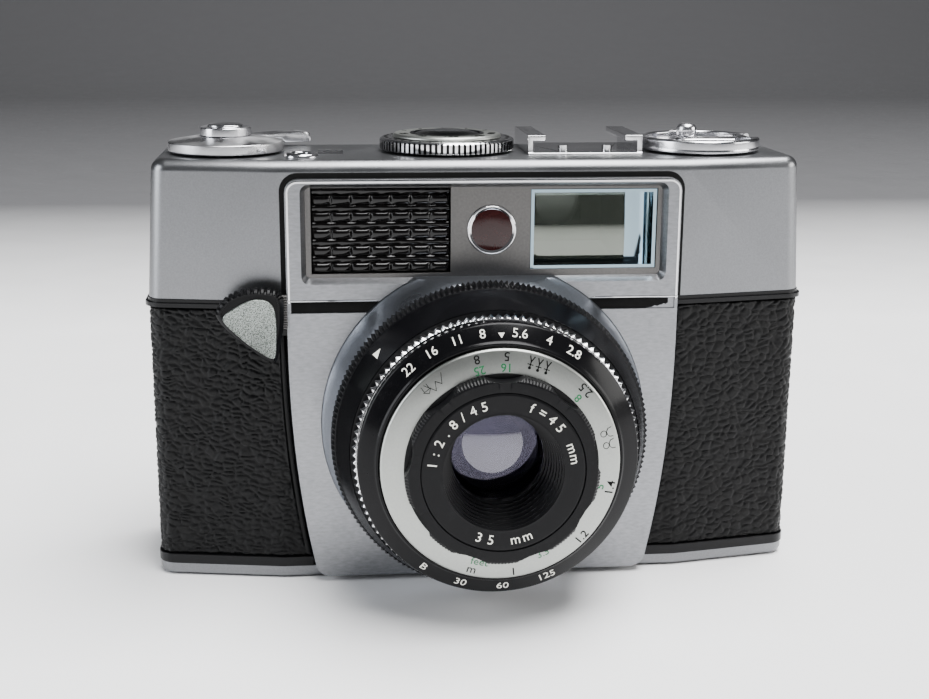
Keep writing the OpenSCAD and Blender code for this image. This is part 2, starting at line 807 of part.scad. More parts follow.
module rewind_crank() {
    grip_x = rewind_x - 2.7;
    color(CHROME) difference() {
        union() {
            translate([0, chamber_y, top_z + 1.5]) linear_extrude(1)
                polygon(concat(arc(grip_x, 0, 2.3, 100, 260, 10), [[crank_x, -3.2], [crank_x, 3.2]]));
            translate([crank_x, chamber_y + 3.4, crank_z]) rotate([90, 0, 0])
                cylinder(h = 6.8, r = 0.8, $fn = 24);
            crank_axle(0.47);
        }
        disc(grip_x, chamber_y, top_z, top_z + 5, 0.75);
    }
}

module crank_grip() {
    grip_x = rewind_x - 2.7;
    color(CHROME) union() {
        disc(grip_x, chamber_y, top_z + 1.5, top_z + 2.7, 0.7);
        disc(grip_x, chamber_y, top_z + 2.6, top_z + 4.8, 2);
        disc(grip_x, chamber_y, top_z + 4.8, top_z + 5.4, 1.5);
    }
}

// ---------------------------------------------------------------- release, base and back

module release_lever() {
    edge = [[-49.9, 55.1], [-48.1, 57.9], [-45.4, 59.2], [-41.4, 59.7], [-38.1, 59], [-37.3, 57.3],
        [-37.4, 51.7], [-38.6, 46.2], [-40.3, 46.4], [-48, 51.7]];
    color(BLACK) difference() {
        union() {
            front_slab(edge, front_y - 5.8, front_y - 1.5);
            // arm that runs behind the face plate to its pivot
            block([-44, front_y - 1.6, lever_z - 1.9], [-38.4, front_y - 0.3, lever_z + 1.9]);
            block([-39, front_y - 1.15, lever_z - 1.9], [lever_x, front_y - 0.25, lever_z + 1.9]);
            translate([lever_x, front_y - 0.25, lever_z]) rotate([90, 0, 0])
                cylinder(h = 0.9, r = 2.3, $fn = 32);
        }
        translate([lever_x, 0, lever_z]) rotate([90, 0, 0]) cylinder(h = 30, r = 0.8, $fn = 32);
        front_slab([[-48.9, 53.8], [-43.6, 57.1], [-40.2, 56.8], [-39.2, 55.1], [-38.9, 47],
            [-41.7, 47.8], [-45.6, 51]], front_y - 7, front_y - 5.3);
    }
}

module release_inlay() {
    color(SATIN) front_slab([[-48.8, 53.8], [-43.6, 57.05], [-40.2, 56.75], [-39.25, 55.1],
        [-38.95, 47.05], [-41.7, 47.85], [-45.6, 51.1]], front_y - 6, front_y - 5.3);
}

module lever_pin() {
    color(CHROME) translate([lever_x, front_y + leather_t, lever_z]) rotate([90, 0, 0])
        cylinder(h = 2.05, r = 0.75, $fn = 32);
}

module rewind_button() {
    color(CHROME) union() {
        disc(button_x, button_y, 0.6, 4, 1.8);
        disc(button_x, button_y, 3, 4, 2.3);
    }
}

module hinge_pin() {
    color(CHROME) disc(hinge_x, hinge_y, rim_z + 0.1, band_z0, 0.7);
}

module back_door() {
    color(BLACK) difference() {
        union() {
            block([hinge_x + 0.4, door_y0, rim_z + 0.3], [rim_x1, door_y1, band_z0 - 0.3]);
            block([hinge_x + 0.6, 12.6, 12.3], [hinge_x + 1.8, door_y1, 45.7]);
            disc(hinge_x, hinge_y, 12.3, 45.7, 1.5);
            // rim that hooks over the body's end
            block([rim_x0, 8, rim_z + 0.3], [rim_x1, door_y1, 23.8]);
            block([rim_x0, 8, 38.2], [rim_x1, door_y1, band_z0 - 0.3]);
        }
        disc(hinge_x, hinge_y, 0, 90, 0.75);
        disc(hinge_x, hinge_y, rim_z, 12.3, 1.8);
        disc(hinge_x, hinge_y, 45.7, band_z0, 1.8);
    }
}

module back_leather() {
    color(HIDE) block([-59.6, door_y1, rim_z + 0.6], [60, half_d, band_z0 - 0.6]);
}

module pressure_plate() {
    color(CHROME) union() {
        block([-22, film_y + 0.25, lens_z - 16], [24, film_y + 0.75, lens_z + 16]);
        for (x = [-12, 14])
            block([x - 4, film_y + 0.75, lens_z - 3], [x + 4, door_y0, lens_z + 3]);
    }
}

module door_catch() {
    color(CHROME) difference() {
        block([60.4, 7, 24.6], [63.6, door_y1, 37.4]);
        for (z = [27:2:35])
            block([63.3, 7.5, z - 0.4], [64, door_y1 - 0.6, z + 0.4]);
    }
}

body_casting();
top_cover();
base_plate();
trim_band();
base_rim();
leather_left();
leather_right();
face_plate();
window_tray();
badge();
lens_boss();
meter_window();
selenium_cell();
finder_reveal();
finder_tube();
finder_front_lens();
finder_eye_lens();
accessory_shoe();
shoe_rivets();
cable_socket();
counter_window();
tripod_bush();
base_screws();
hinge_pin();
lever_pin();
shutter_housing();
front_bezel();
rear_lens();
meter_movement();
meter_glass();
back_door();
back_leather();
pressure_plate();
door_catch();
advance_lever();
advance_cap();
take_up_spool();
sprocket();
counter_disc();
rewind_bush();
rewind_knob();
rewind_crank();
crank_grip();
rewind_button();
release_lever();
release_inlay();
dial_ring();
film_speed_disc();
meter_needle();
speed_ring();
aperture_ring();
distance_scale();
focus_ring();
front_cell();
front_lens();
shutter_blade_1();
shutter_blade_2();
shutter_blade_3();
iris_blade_1();
iris_blade_2();
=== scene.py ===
import json
import math

import bmesh
import bpy
from mathutils import Matrix, Vector, noise


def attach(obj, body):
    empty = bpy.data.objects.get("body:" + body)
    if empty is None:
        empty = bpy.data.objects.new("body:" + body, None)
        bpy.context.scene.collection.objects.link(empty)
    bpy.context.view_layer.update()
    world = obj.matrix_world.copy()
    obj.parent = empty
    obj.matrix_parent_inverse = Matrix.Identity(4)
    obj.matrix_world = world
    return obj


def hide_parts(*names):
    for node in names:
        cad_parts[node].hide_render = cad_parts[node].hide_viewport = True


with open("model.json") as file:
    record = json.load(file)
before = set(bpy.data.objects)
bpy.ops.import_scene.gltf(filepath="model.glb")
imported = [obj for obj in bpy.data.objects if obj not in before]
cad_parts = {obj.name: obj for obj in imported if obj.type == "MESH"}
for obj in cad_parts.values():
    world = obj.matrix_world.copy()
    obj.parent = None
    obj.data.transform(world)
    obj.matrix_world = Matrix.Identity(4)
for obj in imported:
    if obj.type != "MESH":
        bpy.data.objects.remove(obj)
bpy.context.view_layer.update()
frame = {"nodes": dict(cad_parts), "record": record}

MM = 0.001
TAU = 2 * math.pi
LENS_Z = 32.1           # height of the optical axis, mm
ADVANCE = (-48.4, 0)    # axes of the controls on the top cover, mm
DIAL = (-5.65, 1.5)
SOCKET = (-33.9, -9.5)
REWIND = (44.75, 0.5)
GRIP = (42.05, 0.5)
FRONT_Y = -15.5         # flat front of the body, mm
nodes = frame["nodes"]


def mm(*values):
    return tuple(v * MM for v in values)


# ------------------------------------------------------------ materials

def new_material(name, base, rough, metal=0.0, **sockets):
    mat = bpy.data.materials.new(name)
    mat.use_nodes = True
    shader = mat.node_tree.nodes["Principled BSDF"]
    shader.inputs["Base Color"].default_value = (*base, 1)
    shader.inputs["Roughness"].default_value = rough
    shader.inputs["Metallic"].default_value = metal
    for key, value in sockets.items():
        shader.inputs[key.replace("_", " ")].default_value = value
    return mat


class Graph:
    """Small helper that adds and links nodes to one material."""

    def __init__(self, mat):
        self.tree = mat.node_tree
        self.shader = self.tree.nodes["Principled BSDF"]
        self.coord = self.tree.nodes.new("ShaderNodeTexCoord").outputs["Object"]

    def add(self, kind, **settings):
        node = self.tree.nodes.new("ShaderNode" + kind)
        for key, value in settings.items():
            if hasattr(node, key):
                setattr(node, key, value)
            else:
                node.inputs[key.replace("_", " ")].default_value = value
        return node

    def link(self, out, into):
        self.tree.links.new(out, into)

    def scaled(self, x, y, z):
        node = self.add("Mapping", Scale=(x, y, z))
        self.link(self.coord, node.inputs["Vector"])
        return node.outputs["Vector"]

    def noise(self, scale, detail=3, vector=None, roughness=0.5):
        node = self.add("TexNoise", Scale=scale, Detail=detail, Roughness=roughness)
        self.link(vector or self.coord, node.inputs["Vector"])
        return node.outputs["Fac"]

    def cells(self, scale, feature="F1", vector=None):
        node = self.add("TexVoronoi", feature=feature, Scale=scale)
        self.link(vector or self.coord, node.inputs["Vector"])
        return node.outputs["Distance"]

    def ramp(self, value, low, high, out_low, out_high):
        node = self.add("MapRange", From_Min=low, From_Max=high, To_Min=out_low, To_Max=out_high)
        self.link(value, node.inputs["Value"])
        return node.outputs["Result"]

    def mix(self, factor, color_a, color_b):
        node = self.add("Mix", data_type="RGBA")
        self.link(factor, node.inputs["Factor"])
        for index, color in ((6, color_a), (7, color_b)):
            if isinstance(color, tuple):
                node.inputs[index].default_value = (*color, 1)
            else:
                self.link(color, node.inputs[index])
        return node.outputs[2]

    def bump(self, height, strength, distance, normal=None):
        node = self.add("Bump", Strength=strength, Distance=distance)
        self.link(height, node.inputs["Height"])
        if normal:
            self.link(normal, node.inputs["Normal"])
        return node.outputs["Normal"]

    def drive(self, socket, out):
        self.link(out, self.shader.inputs[socket])


def satin(name, base, rough, grain, depth=0.00002, stretch=(1, 1, 1), contrast=0.86):
    """Blasted satin chrome: fine grain in bump and roughness, and faint broad unevenness."""
    mat = new_material(name, base, rough, 1.0)
    g = Graph(mat)
    fine = g.noise(grain, 4, g.scaled(*stretch), 0.6)
    broad = g.noise(60, 3)
    g.drive("Roughness", g.ramp(broad, 0.3, 0.7, rough - 0.04, rough + 0.05))
    darker = tuple(c * contrast for c in base)
    g.drive("Base Color", g.mix(g.ramp(fine, 0.35, 0.65, 0, 1), darker, base))
    g.drive("Normal", g.bump(fine, 0.35, depth))
    return mat


def stippled(name, base, rough, grain):
    """Silver with black paint left in its fine dimples."""
    mat = new_material(name, base, rough, 0.9)
    g = Graph(mat)
    dimple = g.noise(grain, 2, None, 0.6)
    g.drive("Base Color", g.mix(g.ramp(dimple, 0.4, 0.56, 0, 1), (0.07, 0.08, 0.07), base))
    g.drive("Roughness", g.ramp(g.noise(400, 3), 0.3, 0.7, rough, rough + 0.12))
    g.drive("Normal", g.bump(dimple, 0.6, 0.0001))
    return mat


def polished(name, base, rough):
    """Plated metal with hairline scratches and a trace of haze."""
    mat = new_material(name, base, rough, 1.0)
    g = Graph(mat)
    haze = g.noise(140, 3)
    scratch = g.noise(900, 2, g.scaled(1, 1, 0.08))
    g.drive("Roughness", g.ramp(haze, 0.35, 0.7, rough * 0.7, rough * 1.8))
    g.drive("Normal", g.bump(scratch, 0.05, 0.00001))
    return mat


def lacquer(name, base, rough, coat=0.6):
    """Glossy black finish with dust and light wear."""
    mat = new_material(name, base, rough, 0.0, Coat_Weight=coat, Coat_Roughness=0.08,
                       Specular_IOR_Level=0.1)
    g = Graph(mat)
    dust = g.noise(700, 5, None, 0.7)
    worn = tuple(c * 2 + 0.004 for c in base)
    g.drive("Base Color", g.mix(g.ramp(dust, 0.55, 0.8, 0, 0.6), base, worn))
    g.drive("Roughness", g.ramp(g.noise(90), 0.3, 0.7, rough, rough + 0.14))
    g.drive("Normal", g.bump(dust, 0.06, 0.00001))
    return mat


def leather():
    """Black leatherette: the pebbles are in the mesh, the pores between them here."""
    mat = new_material("leatherette", (0.005, 0.005, 0.0053), 0.42, 0.0, Specular_IOR_Level=0.17)
    g = Graph(mat)
    pores = g.cells(2600)
    wear = g.noise(260, 5, None, 0.65)
    g.drive("Base Color", g.mix(g.ramp(wear, 0.5, 0.8, 0, 1), (0.002, 0.002, 0.0022),
                                (0.007, 0.0068, 0.0066)))
    g.drive("Roughness", g.ramp(wear, 0.3, 0.7, 0.36, 0.56))
    g.drive("Normal", g.bump(pores, 0.35, 0.00004, g.bump(wear, 0.3, 0.00006)))
    return mat


def glass(name, tint, rough, metal=0.0, transmission=1.0, ior=1.5):
    """Glass with faint smears in its gloss."""
    mat = new_material(name, tint, rough, metal, Transmission_Weight=transmission, IOR=ior)
    g = Graph(mat)
    g.drive("Roughness", g.ramp(g.noise(180, 4), 0.45, 0.75, rough, rough + 0.03))
    return mat


MAT = {
    "satin": satin("satin_cover", (0.22, 0.224, 0.233), 0.34, 3200),
    "plate": satin("satin_plate", (0.27, 0.275, 0.288), 0.33, 1500, 0.00005, (0.45, 1, 1.5), 0.8),
    "panel": satin("satin_panel", (0.13, 0.126, 0.123), 0.36, 2200, 0.00003),
    "collar": satin("satin_collar", (0.36, 0.385, 0.43), 0.3, 2600, 0.00001),
    "chrome": polished("chrome", (0.72, 0.72, 0.73), 0.10),
    "steel": polished("steel", (0.5, 0.5, 0.5), 0.28),
    "turned": polished("turned_chrome", (0.62, 0.62, 0.64), 0.2),
    "spun": polished("spun_chrome", (0.5, 0.5, 0.51), 0.3),
    "black": lacquer("black_gloss", (0.0025, 0.0025, 0.003), 0.13, 0.05),
    "knurl": lacquer("black_knurl", (0.004, 0.004, 0.0045), 0.28, 0.05),
    "satin_black": lacquer("black_satin", (0.004, 0.004, 0.0045), 0.28, 0.05),
    "casting": lacquer("black_casting", (0.014, 0.014, 0.015), 0.5, 0.1),
    "trim": lacquer("black_trim", (0.004, 0.004, 0.0045), 0.26, 0.2),
    "leather": leather(),
    "brass": polished("brass", (0.6, 0.45, 0.22), 0.25),
    "scale": satin("scale_silver", (0.36, 0.372, 0.352), 0.36, 2600, 0.00001, (1, 1, 1), 0.93),
    "inlay": stippled("stippled_silver", (0.34, 0.37, 0.35), 0.36, 4600),
    "white": lacquer("white_paint", (0.78, 0.77, 0.70), 0.5, 0.0),
    "ink": lacquer("black_ink", (0.004, 0.004, 0.004), 0.6, 0.0),
    "green": lacquer("green_ink", (0.02, 0.15, 0.06), 0.6, 0.0),
    "enamel": lacquer("dark_enamel", (0.02, 0.004, 0.004), 0.14, 0.5),
    "glass": glass("clear_glass", (0.9, 0.93, 0.96), 0.02),
    "front_glass": glass("coated_glass", (0.46, 0.44, 0.56), 0.012, 0.06, 1.0, 1.7),
    "finder_glass": glass("finder_glass", (0.25, 0.27, 0.235), 0.015, 0.5, 1.0, 1.52),
    "blade": polished("blued_steel", (0.07, 0.07, 0.085), 0.4),
    "reveal": polished("blued_reveal", (0.24, 0.32, 0.37), 0.07),
    "selenium": satin("selenium", (0.10, 0.07, 0.06), 0.45, 900),
    "prism": glass("meter_plastic", (0.003, 0.0025, 0.0025), 0.08, 0.0, 0.0, 1.36),
    "orange": lacquer("orange_paint", (0.8, 0.2, 0.04), 0.4, 0.0),
}

# looks of the record's slots where the two names differ, and of single nodes
SLOT_LOOK = {"black_ring": "black", "black_paint": "trim", "black_plastic": "satin_black",
             "spool_plastic": "casting", "leatherette": "leather", "badge": "enamel",
             "dial_paper": "white", "needle": "orange"}
NODE_LOOK = {"lens_boss": "collar", "window_tray": "panel", "finder_reveal": "reveal",
             "shutter_housing": "casting", "finder_tube": "casting", "shutter_blade_1": "blade",
             "shutter_blade_2": "blade", "shutter_blade_3": "blade", "iris_blade_1": "blade",
             "iris_blade_2": "blade"}
# how wide an edge radius each carried-over node gets, in mm
EDGE = {"top_cover": 0.25, "base_plate": 0.2, "face_plate": 0.32, "window_tray": 0.12,
        "lens_boss": 0.3, "finder_reveal": 0.1, "accessory_shoe": 0.15, "door_catch": 0.15,
        "trim_band": 0.12, "base_rim": 0.12, "back_door": 0.2, "body_casting": 0.2,
        "pressure_plate": 0.15, "rewind_button": 0.2, "shutter_housing": 0.15,
        "take_up_spool": 0.2, "sprocket": 0.1}


def dress_cad():
    for part in frame["record"]["subparts"]:
        node = part["node"]
        obj = nodes[node]
        slot = part["material_slot"]
        look = NODE_LOOK.get(node, SLOT_LOOK.get(slot, slot))
        obj.data.materials.clear()
        obj.data.materials.append(MAT[look])
        if node in EDGE:
            weld = obj.modifiers.new("weld", "WELD")
            weld.merge_threshold = 0.000002
            bevel = obj.modifiers.new("edge", "BEVEL")
            bevel.limit_method = "ANGLE"
            bevel.angle_limit = math.radians(34)
            bevel.width = EDGE[node] * MM
            bevel.segments = 3
            bevel.harden_normals = True
            shade = obj.modifiers.new("shade", "WEIGHTED_NORMAL")
            shade.keep_sharp = False
            shade.weight = 80


dress_cad()

# ------------------------------------------------------------ mesh helpers

def add_object(name, form, look, body, replaced=(), sharp=38):
    """Makes a piece from a (vertices in mm, faces) pair and sets its look and body."""
    verts, faces = form
    mesh = bpy.data.meshes.new(name)
    mesh.from_pydata([mm(*v) for v in verts], [], faces)
    mesh.update()
    shape = bmesh.new()
    shape.from_mesh(mesh)
    bmesh.ops.recalc_face_normals(shape, faces=shape.faces)
    shape.to_mesh(mesh)
    shape.free()
    mesh.materials.append(MAT[look])
    mesh.polygons.foreach_set("use_smooth", [True] * len(mesh.polygons))
    mesh.set_sharp_from_angle(angle=math.radians(sharp))
    obj = bpy.data.objects.new(name, mesh)
    bpy.context.scene.collection.objects.link(obj)
    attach(obj, body)
    if replaced:
        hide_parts(*replaced)
    return obj


def soften(points, steps=3):
    """Rounds the corners of a closed outline given as (a, b) or (a, b, radius)."""
    out = []
    count = len(points)
    for i, point in enumerate(points):
        corner = Vector(point[:2])
        radius = point[2] if len(point) > 2 else 0
        if not radius:
            out.append(tuple(corner))
            continue
        before = Vector(points[i - 1][:2]) - corner
        after = Vector(points[(i + 1) % count][:2]) - corner
        a = corner + before.normalized() * min(radius, before.length * 0.49)
        b = corner + after.normalized() * min(radius, after.length * 0.49)
        for k in range(steps + 1):
            t = k / steps
            out.append(tuple(a * (1 - t) ** 2 + corner * 2 * t * (1 - t) + b * t * t))
    return out


def around_lens(r, d, a):
    return (r * math.sin(a), -d, LENS_Z + r * math.cos(a))


def around_post(x, y):
    return lambda r, z, a: (x + r * math.sin(a), y - r * math.cos(a), z)


def lathe(profile, point, turns=240, notch=None):
    """A ring from a closed profile of (radius, distance along the axis)."""
    count = len(profile)
    verts, faces = [], []
    for i in range(turns):
        for j, (r, d) in enumerate(profile):
            cut = notch(i, r, d) if notch else 0
            verts.append(point(r - cut, d, TAU * i / turns))
    for i in range(turns):
        k = (i + 1) % turns
        for j in range(count):
            m = (j + 1) % count
            faces.append((i * count + j, i * count + m, k * count + m, k * count + j))
    return verts, faces


def turned(profile, point, turns=160, notch=None):
    """A solid of revolution from an open profile, closed by a face at each end."""
    verts, faces = lathe(profile, point, turns, notch)
    count = len(profile)
    faces = [f for n, f in enumerate(faces) if n % count != count - 1]
    faces.append(tuple(i * count for i in range(turns)))
    faces.append(tuple(i * count + count - 1 for i in reversed(range(turns))))
    return verts, faces


# ------------------------------------------------------------ lens rings

def saw(i, period):
    """0 on a tooth's crest and 1 in the valley."""
    t = (i % period) / period
    return 1 - abs(2 * t - 1)


def speed_ring():
    teeth, steps = 180, 6
    profile = soften([(21.85, 34), (21.85, 36.8), (26.1, 36.8, 0.15), (28.55, 30.3, 0.1),
                      (28.75, 30.2), (28.95, 30.1), (29.4, 29.2), (29.4, 25.8), (28.9, 25.25),
                      (27, 25.1), (27, 29.4), (24.6, 34)])

    def notch(i, r, d):
        if r < 28.8:
            return 0
        return 0.55 * saw(i, steps) * min(1, (r - 28.7) / 0.4)

    add_object("speed_ring_knurled", lathe(profile, around_lens, teeth * steps, notch), "knurl",
               "speed", ["speed_ring"], 30)
    shell = soften([(26.25, 36.85), (28.62, 30.32), (28.5, 30.3), (26.1, 36.78)])
    add_object("speed_ring_cone", lathe(shell, around_lens, 240), "black", "speed", ())


def aperture_ring():
    teeth, steps = 114, 6
    profile = soften([(21.85, 37), (21.85, 38.9), (25.15, 38.95), (25.2, 38.9), (25.6, 38.7, 0.15),
                      (25.9, 38.2, 0.1), (25.9, 37.2), (25.7, 37.02)])

    def notch(i, r, d):
        return 0.68 * saw(i, steps) if r > 25.17 else 0

    add_object("aperture_ring_milled", lathe(profile, around_lens, teeth * steps, notch), "chrome",
               "aperture", ["aperture_ring"], 30)


def bezel():
    profile = soften([(15.4, 39.05), (24.4, 39.05), (25, 39.4, 0.25), (25, 41.35, 0.35),
                      (22.0, 43.0, 0.3), (21.75, 43.35, 0.15), (21.3, 43.35, 0.12),
                      (21.22, 42.9), (15.4, 42.9)])
    add_object("front_bezel_turned", lathe(profile, around_lens), "black", "camera_body",
               ["front_bezel"])


def scale_ring():
    profile = soften([(16.2, 43.5), (20.95, 43.5), (21.1, 43.65, 0.08), (21.1, 44.2, 0.12),
                      (20.8, 44.45, 0.12), (17, 45.3), (16.2, 45.3)])
    add_object("distance_scale_turned", lathe(profile, around_lens), "scale", "focus",
               ["distance_scale"])


def focus_ring():
    turns, lobes = 900, 9
    bite, reach = 10.3, 26.6
    profile = soften([(13.2, 36.2), (15.35, 36.2), (15.35, 43.4), (16.15, 43.4), (16.15, 45.4),
                      (17.0, 45.4, 0.1), (17.1, 45.6, 0.08), (17.1, 47.6, 0.3),
                      (16.4, 48.3, 0.3), (14.4, 48.3)])

    def notch(i, r, d):
        if r < 16.2 or d < 45.5:
            return 0
        t = ((i / turns * lobes + 0.5) % 1 - 0.5) / lobes * TAU
        inside = bite ** 2 - (reach * math.sin(t)) ** 2
        cut = 0
        if inside > 0:
            cut = max(0, r - (reach * math.cos(t) - math.sqrt(inside)) + 0.25)
        if cut <= 0.02 and d < 48.2:
            cut = 0.16 * saw(i, 5)
        return min(cut, r - 15.3)

    add_object("focus_ring_scalloped", lathe(profile, around_lens, turns, notch), "satin_black",
               "focus", ["focus_ring"], 32)


def front_cell():
    ridges = []
    steps = 8
    for k in range(steps):
        d = 48.2 - 9.0 * k / steps
        r = 10.55 - 2.25 * k / steps
        ridges += [(r, d), (r - 0.02, d - 0.35), (r - 0.30, d - 0.5)]
    profile = soften([(8.9, 34.4), (13.1, 34.4), (13.1, 45.6), (14.3, 45.6), (14.35, 48.1, 0.12),
                      (13.9, 48.32, 0.1), (10.9, 48.15, 0.2)] + ridges + [(8.27, 39.0), (8.27, 38.4),
                      (8.9, 38.2)])
    add_object("front_cell_ridged", lathe(profile, around_lens), "satin_black", "focus",
               ["front_cell"], 24)


def front_glass():
    crown = 26
    edge = 8.8
    arch = [(edge * (1 - k / 14), 38.15 - crown + math.sqrt(crown ** 2 - (edge * (1 - k / 14)) ** 2))
            for k in range(14)]
    profile = [(0.05, 35.6), (4, 35.5), (edge, 34.7)] + arch + [(0.05, 38.15)]
    add_object("front_lens_ground", turned(profile, around_lens, 96), "front_glass", "focus",
               ["front_lens"])


speed_ring()
aperture_ring()
bezel()
scale_ring()
focus_ring()
front_cell()
front_glass()

# ------------------------------------------------------------ figures and pictograms

def flat_text(name, text, height, weight=0):
    """A FONT object turned into a thin mesh, centred on its own origin, in mm."""
    curve = bpy.data.curves.new(name, "FONT")
    curve.body = text
    curve.size = height * 1.38
    curve.align_x = "CENTER"
    curve.align_y = "CENTER"
    curve.extrude = 0.03
    curve.offset = weight * height
    curve.resolution_u = 3
    maker = bpy.data.objects.new(name, curve)
    mesh = bpy.data.meshes.new_from_object(maker)
    bpy.data.objects.remove(maker)
    return mesh


def on_cone(angle, r, d, slope, top_out=True, turn=0):
    """Matrix that lays a figure on a ring, with its angle clockwise from the top.

    slope is the lean of the ring's face and turn spins the figure on it, all in degrees.
    """
    a = math.radians(angle)
    out = Vector((math.sin(a), 0, math.cos(a)))
    forward = Vector((0, -1, 0))
    s = math.radians(slope)
    normal = forward * math.cos(s) + out * math.sin(s)
    up = out * math.cos(s) - forward * math.sin(s)
    if not top_out:
        up = -up
    side = up.cross(normal)
    frame_matrix = Matrix((side, up, normal)).transposed().to_4x4()
    frame_matrix.translation = Vector(around_lens(r, d, a))
    return frame_matrix @ Matrix.Rotation(math.radians(turn), 4, "Z")


def figures(name, items, look, body):
    """Joins (mesh in mm, matrix in mm) pairs into one piece."""
    shape = bmesh.new()
    for mesh, matrix in items:
        mesh.transform(matrix)
        shape.from_mesh(mesh)
        bpy.data.meshes.remove(mesh)
    bmesh.ops.scale(shape, vec=(MM,) * 3, verts=shape.verts)
    mesh = bpy.data.meshes.new(name)
    shape.to_mesh(mesh)
    shape.free()
    mesh.materials.clear()
    mesh.materials.append(MAT[look])
    obj = bpy.data.objects.new(name, mesh)
    bpy.context.scene.collection.objects.link(obj)
    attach(obj, body)


def plate_mesh(name, polygons, thickness=0.06):
    """Flat shapes in x and y, given a little thickness, in mm."""
    verts, faces = [], []
    for outline in polygons:
        base, n = len(verts), len(outline)
        verts += [(x, y, 0) for x, y in outline] + [(x, y, thickness) for x, y in outline]
        faces.append(tuple(base + i for i in reversed(range(n))))
        faces.append(tuple(base + n + i for i in range(n)))
        faces += [(base + i, base + (i + 1) % n, base + n + (i + 1) % n, base + n + i)
                  for i in range(n)]
    mesh = bpy.data.meshes.new(name)
    mesh.from_pydata(verts, [], faces)
    return mesh


def stroke(points, width=0.15):
    """Thin quads along a polyline."""
    quads = []
    for (x0, y0), (x1, y1) in zip(points, points[1:]):
        along = Vector((x1 - x0, y1 - y0)).normalized() * width / 2
        nx, ny = -along.y, along.x
        quads.append([(x0 - along.x + nx, y0 - along.y + ny), (x0 - along.x - nx, y0 - along.y - ny),
                      (x1 + along.x - nx, y1 + along.y - ny), (x1 + along.x + nx, y1 + along.y + ny)])
    return quads


def dot(x, y, r, n=12):
    return [(x + r * math.cos(TAU * i / n), y + r * math.sin(TAU * i / n)) for i in range(n)]


SCALE_SLOPE = 12.6      # the distance scale is a shallow cone
BEZEL_SLOPE = 28.8


def scale_d(r):
    return 44.45 + (20.8 - r) * 0.224


def bezel_d(r):
    return 41.35 + (25 - r) * 0.55


def on_scale(angle, r, lift=0.01):
    return on_cone(angle, r, scale_d(r) + lift, SCALE_SLOPE, False)


def on_bezel(angle, r, top_out=True, lift=0.01):
    return on_cone(angle, r, bezel_d(r) + lift, BEZEL_SLOPE, top_out)


def distance_figures():
    black, green = [], []
    for angle, metres, feet in ((-13, "8", "25"), (2, "5", "16"), (47, "2.5", "8"),
                                (103, "1.4", "5"), (133, "1.2", ""), (173, "1", "")):
        black.append((flat_text("metres", metres, 1.6, 0.012), on_scale(angle, 19.9)))
        if feet:
            green.append((flat_text("feet", feet, 1.5, 0.012), on_scale(angle, 18.0)))
    black.append((flat_text("unit", "m", 1.7), on_scale(195, 19.7)))
    green.append((flat_text("unit", "feet", 1.5), on_scale(192, 17.9)))
    green.append((flat_text("unit", "3.5", 1.4), on_scale(155, 17.95)))
    # generic pictograms: a group, two heads with shoulders, and a peak beside a house
    group = []
    for x in (-1.5, 0, 1.5):
        group.append(dot(x, 0.9, 0.27))
        group += stroke([(x, 0.6), (x, -0.2), (x - 0.4, -1.1)], 0.2)
        group += stroke([(x, -0.2), (x + 0.4, -1.1)], 0.2)
        group += stroke([(x - 0.45, 0.3), (x + 0.45, 0.3)], 0.16)
    black.append((plate_mesh("group", group), on_scale(19, 19.2, 0)))
    bust = []
    for x in (-1.1, 1.1):
        ring = dot(x, 0.55, 0.55, 16)
        bust += stroke(ring + ring[:1], 0.09)
        bust += stroke([(x - 0.85, -1.05), (x - 0.75, -0.45), (x - 0.3, -0.1), (x + 0.3, -0.1),
                        (x + 0.75, -0.45), (x + 0.85, -1.05)], 0.09)
    black.append((plate_mesh("bust", bust), on_scale(76, 19.2, 0)))
    peak = stroke([(-2.2, -0.9), (-1.2, 0.7), (-0.5, -0.3), (0.3, 1.1), (1.5, -0.9)], 0.1)
    peak += stroke([(1.0, -0.9), (1.0, 0.1), (2.1, 0.1), (2.1, -0.9)], 0.1)
    peak += stroke([(0.8, 0.1), (1.55, 0.75), (2.3, 0.1)], 0.1)
    black.append((plate_mesh("peak", peak), on_scale(-38, 19.2, 0)))
    figures("distance_figures", black, "ink", "focus")
    figures("feet_figures", green, "green", "focus")


def bezel_figures():
    white = []
    r = 23.4
    for angle, text in ((-43, "22"), (-31, "16"), (-19, "11"), (-8, "8"), (8, "5.6"), (21, "4"),
                        (33, "2.8")):
        white.append((flat_text("stop", text, 1.7), on_bezel(angle, r)))
    for angle, text in ((215, "B"), (197, "30"), (178, "60"), (158, "125")):
        white.append((flat_text("speed", text, 1.7), on_bezel(angle, r, False)))
    mark = plate_mesh("mark", [[(-0.55, 0.45), (0, -0.5), (0.55, 0.45)]])
    white.append((mark, on_bezel(0, 23.0, True, 0)))
    figures("bezel_figures", white, "white", "camera_body")
    index = plate_mesh("index", [[(-0.95, -0.75), (0.95, -0.75), (0, 1.1)]], 0.1)
    figures("speed_index", [(index, on_cone(-50, 27.45, 33.42, 69, True, 160))], "white", "speed")


def lens_figures():
    white = []
    r, d = 12.4, 48.27
    for text, start, step in (("1:2.8/45", -82, 9.4), ("f=45 mm", 22, 9.6)):
        for k, letter in enumerate(text):
            if letter != " ":
                white.append((flat_text("spec", letter, 1.75), on_cone(start + k * step, r, d, -3.2)))
    for k, letter in enumerate("35 mm"):
        if letter != " ":
            white.append((flat_text("spec", letter, 1.75), on_cone(200 - k * 10, r, d, -3.2, False)))
    figures("lens_figures", white, "white", "focus")


distance_figures()
bezel_figures()
lens_figures()

# ------------------------------------------------------------ leatherette

CORNER_R = 3.5
FLAT_X = 39
SWEEP = math.radians(9.66)
HALF_W = 63.4
RIM_Z = 4.5
BAND_Z = 54.2


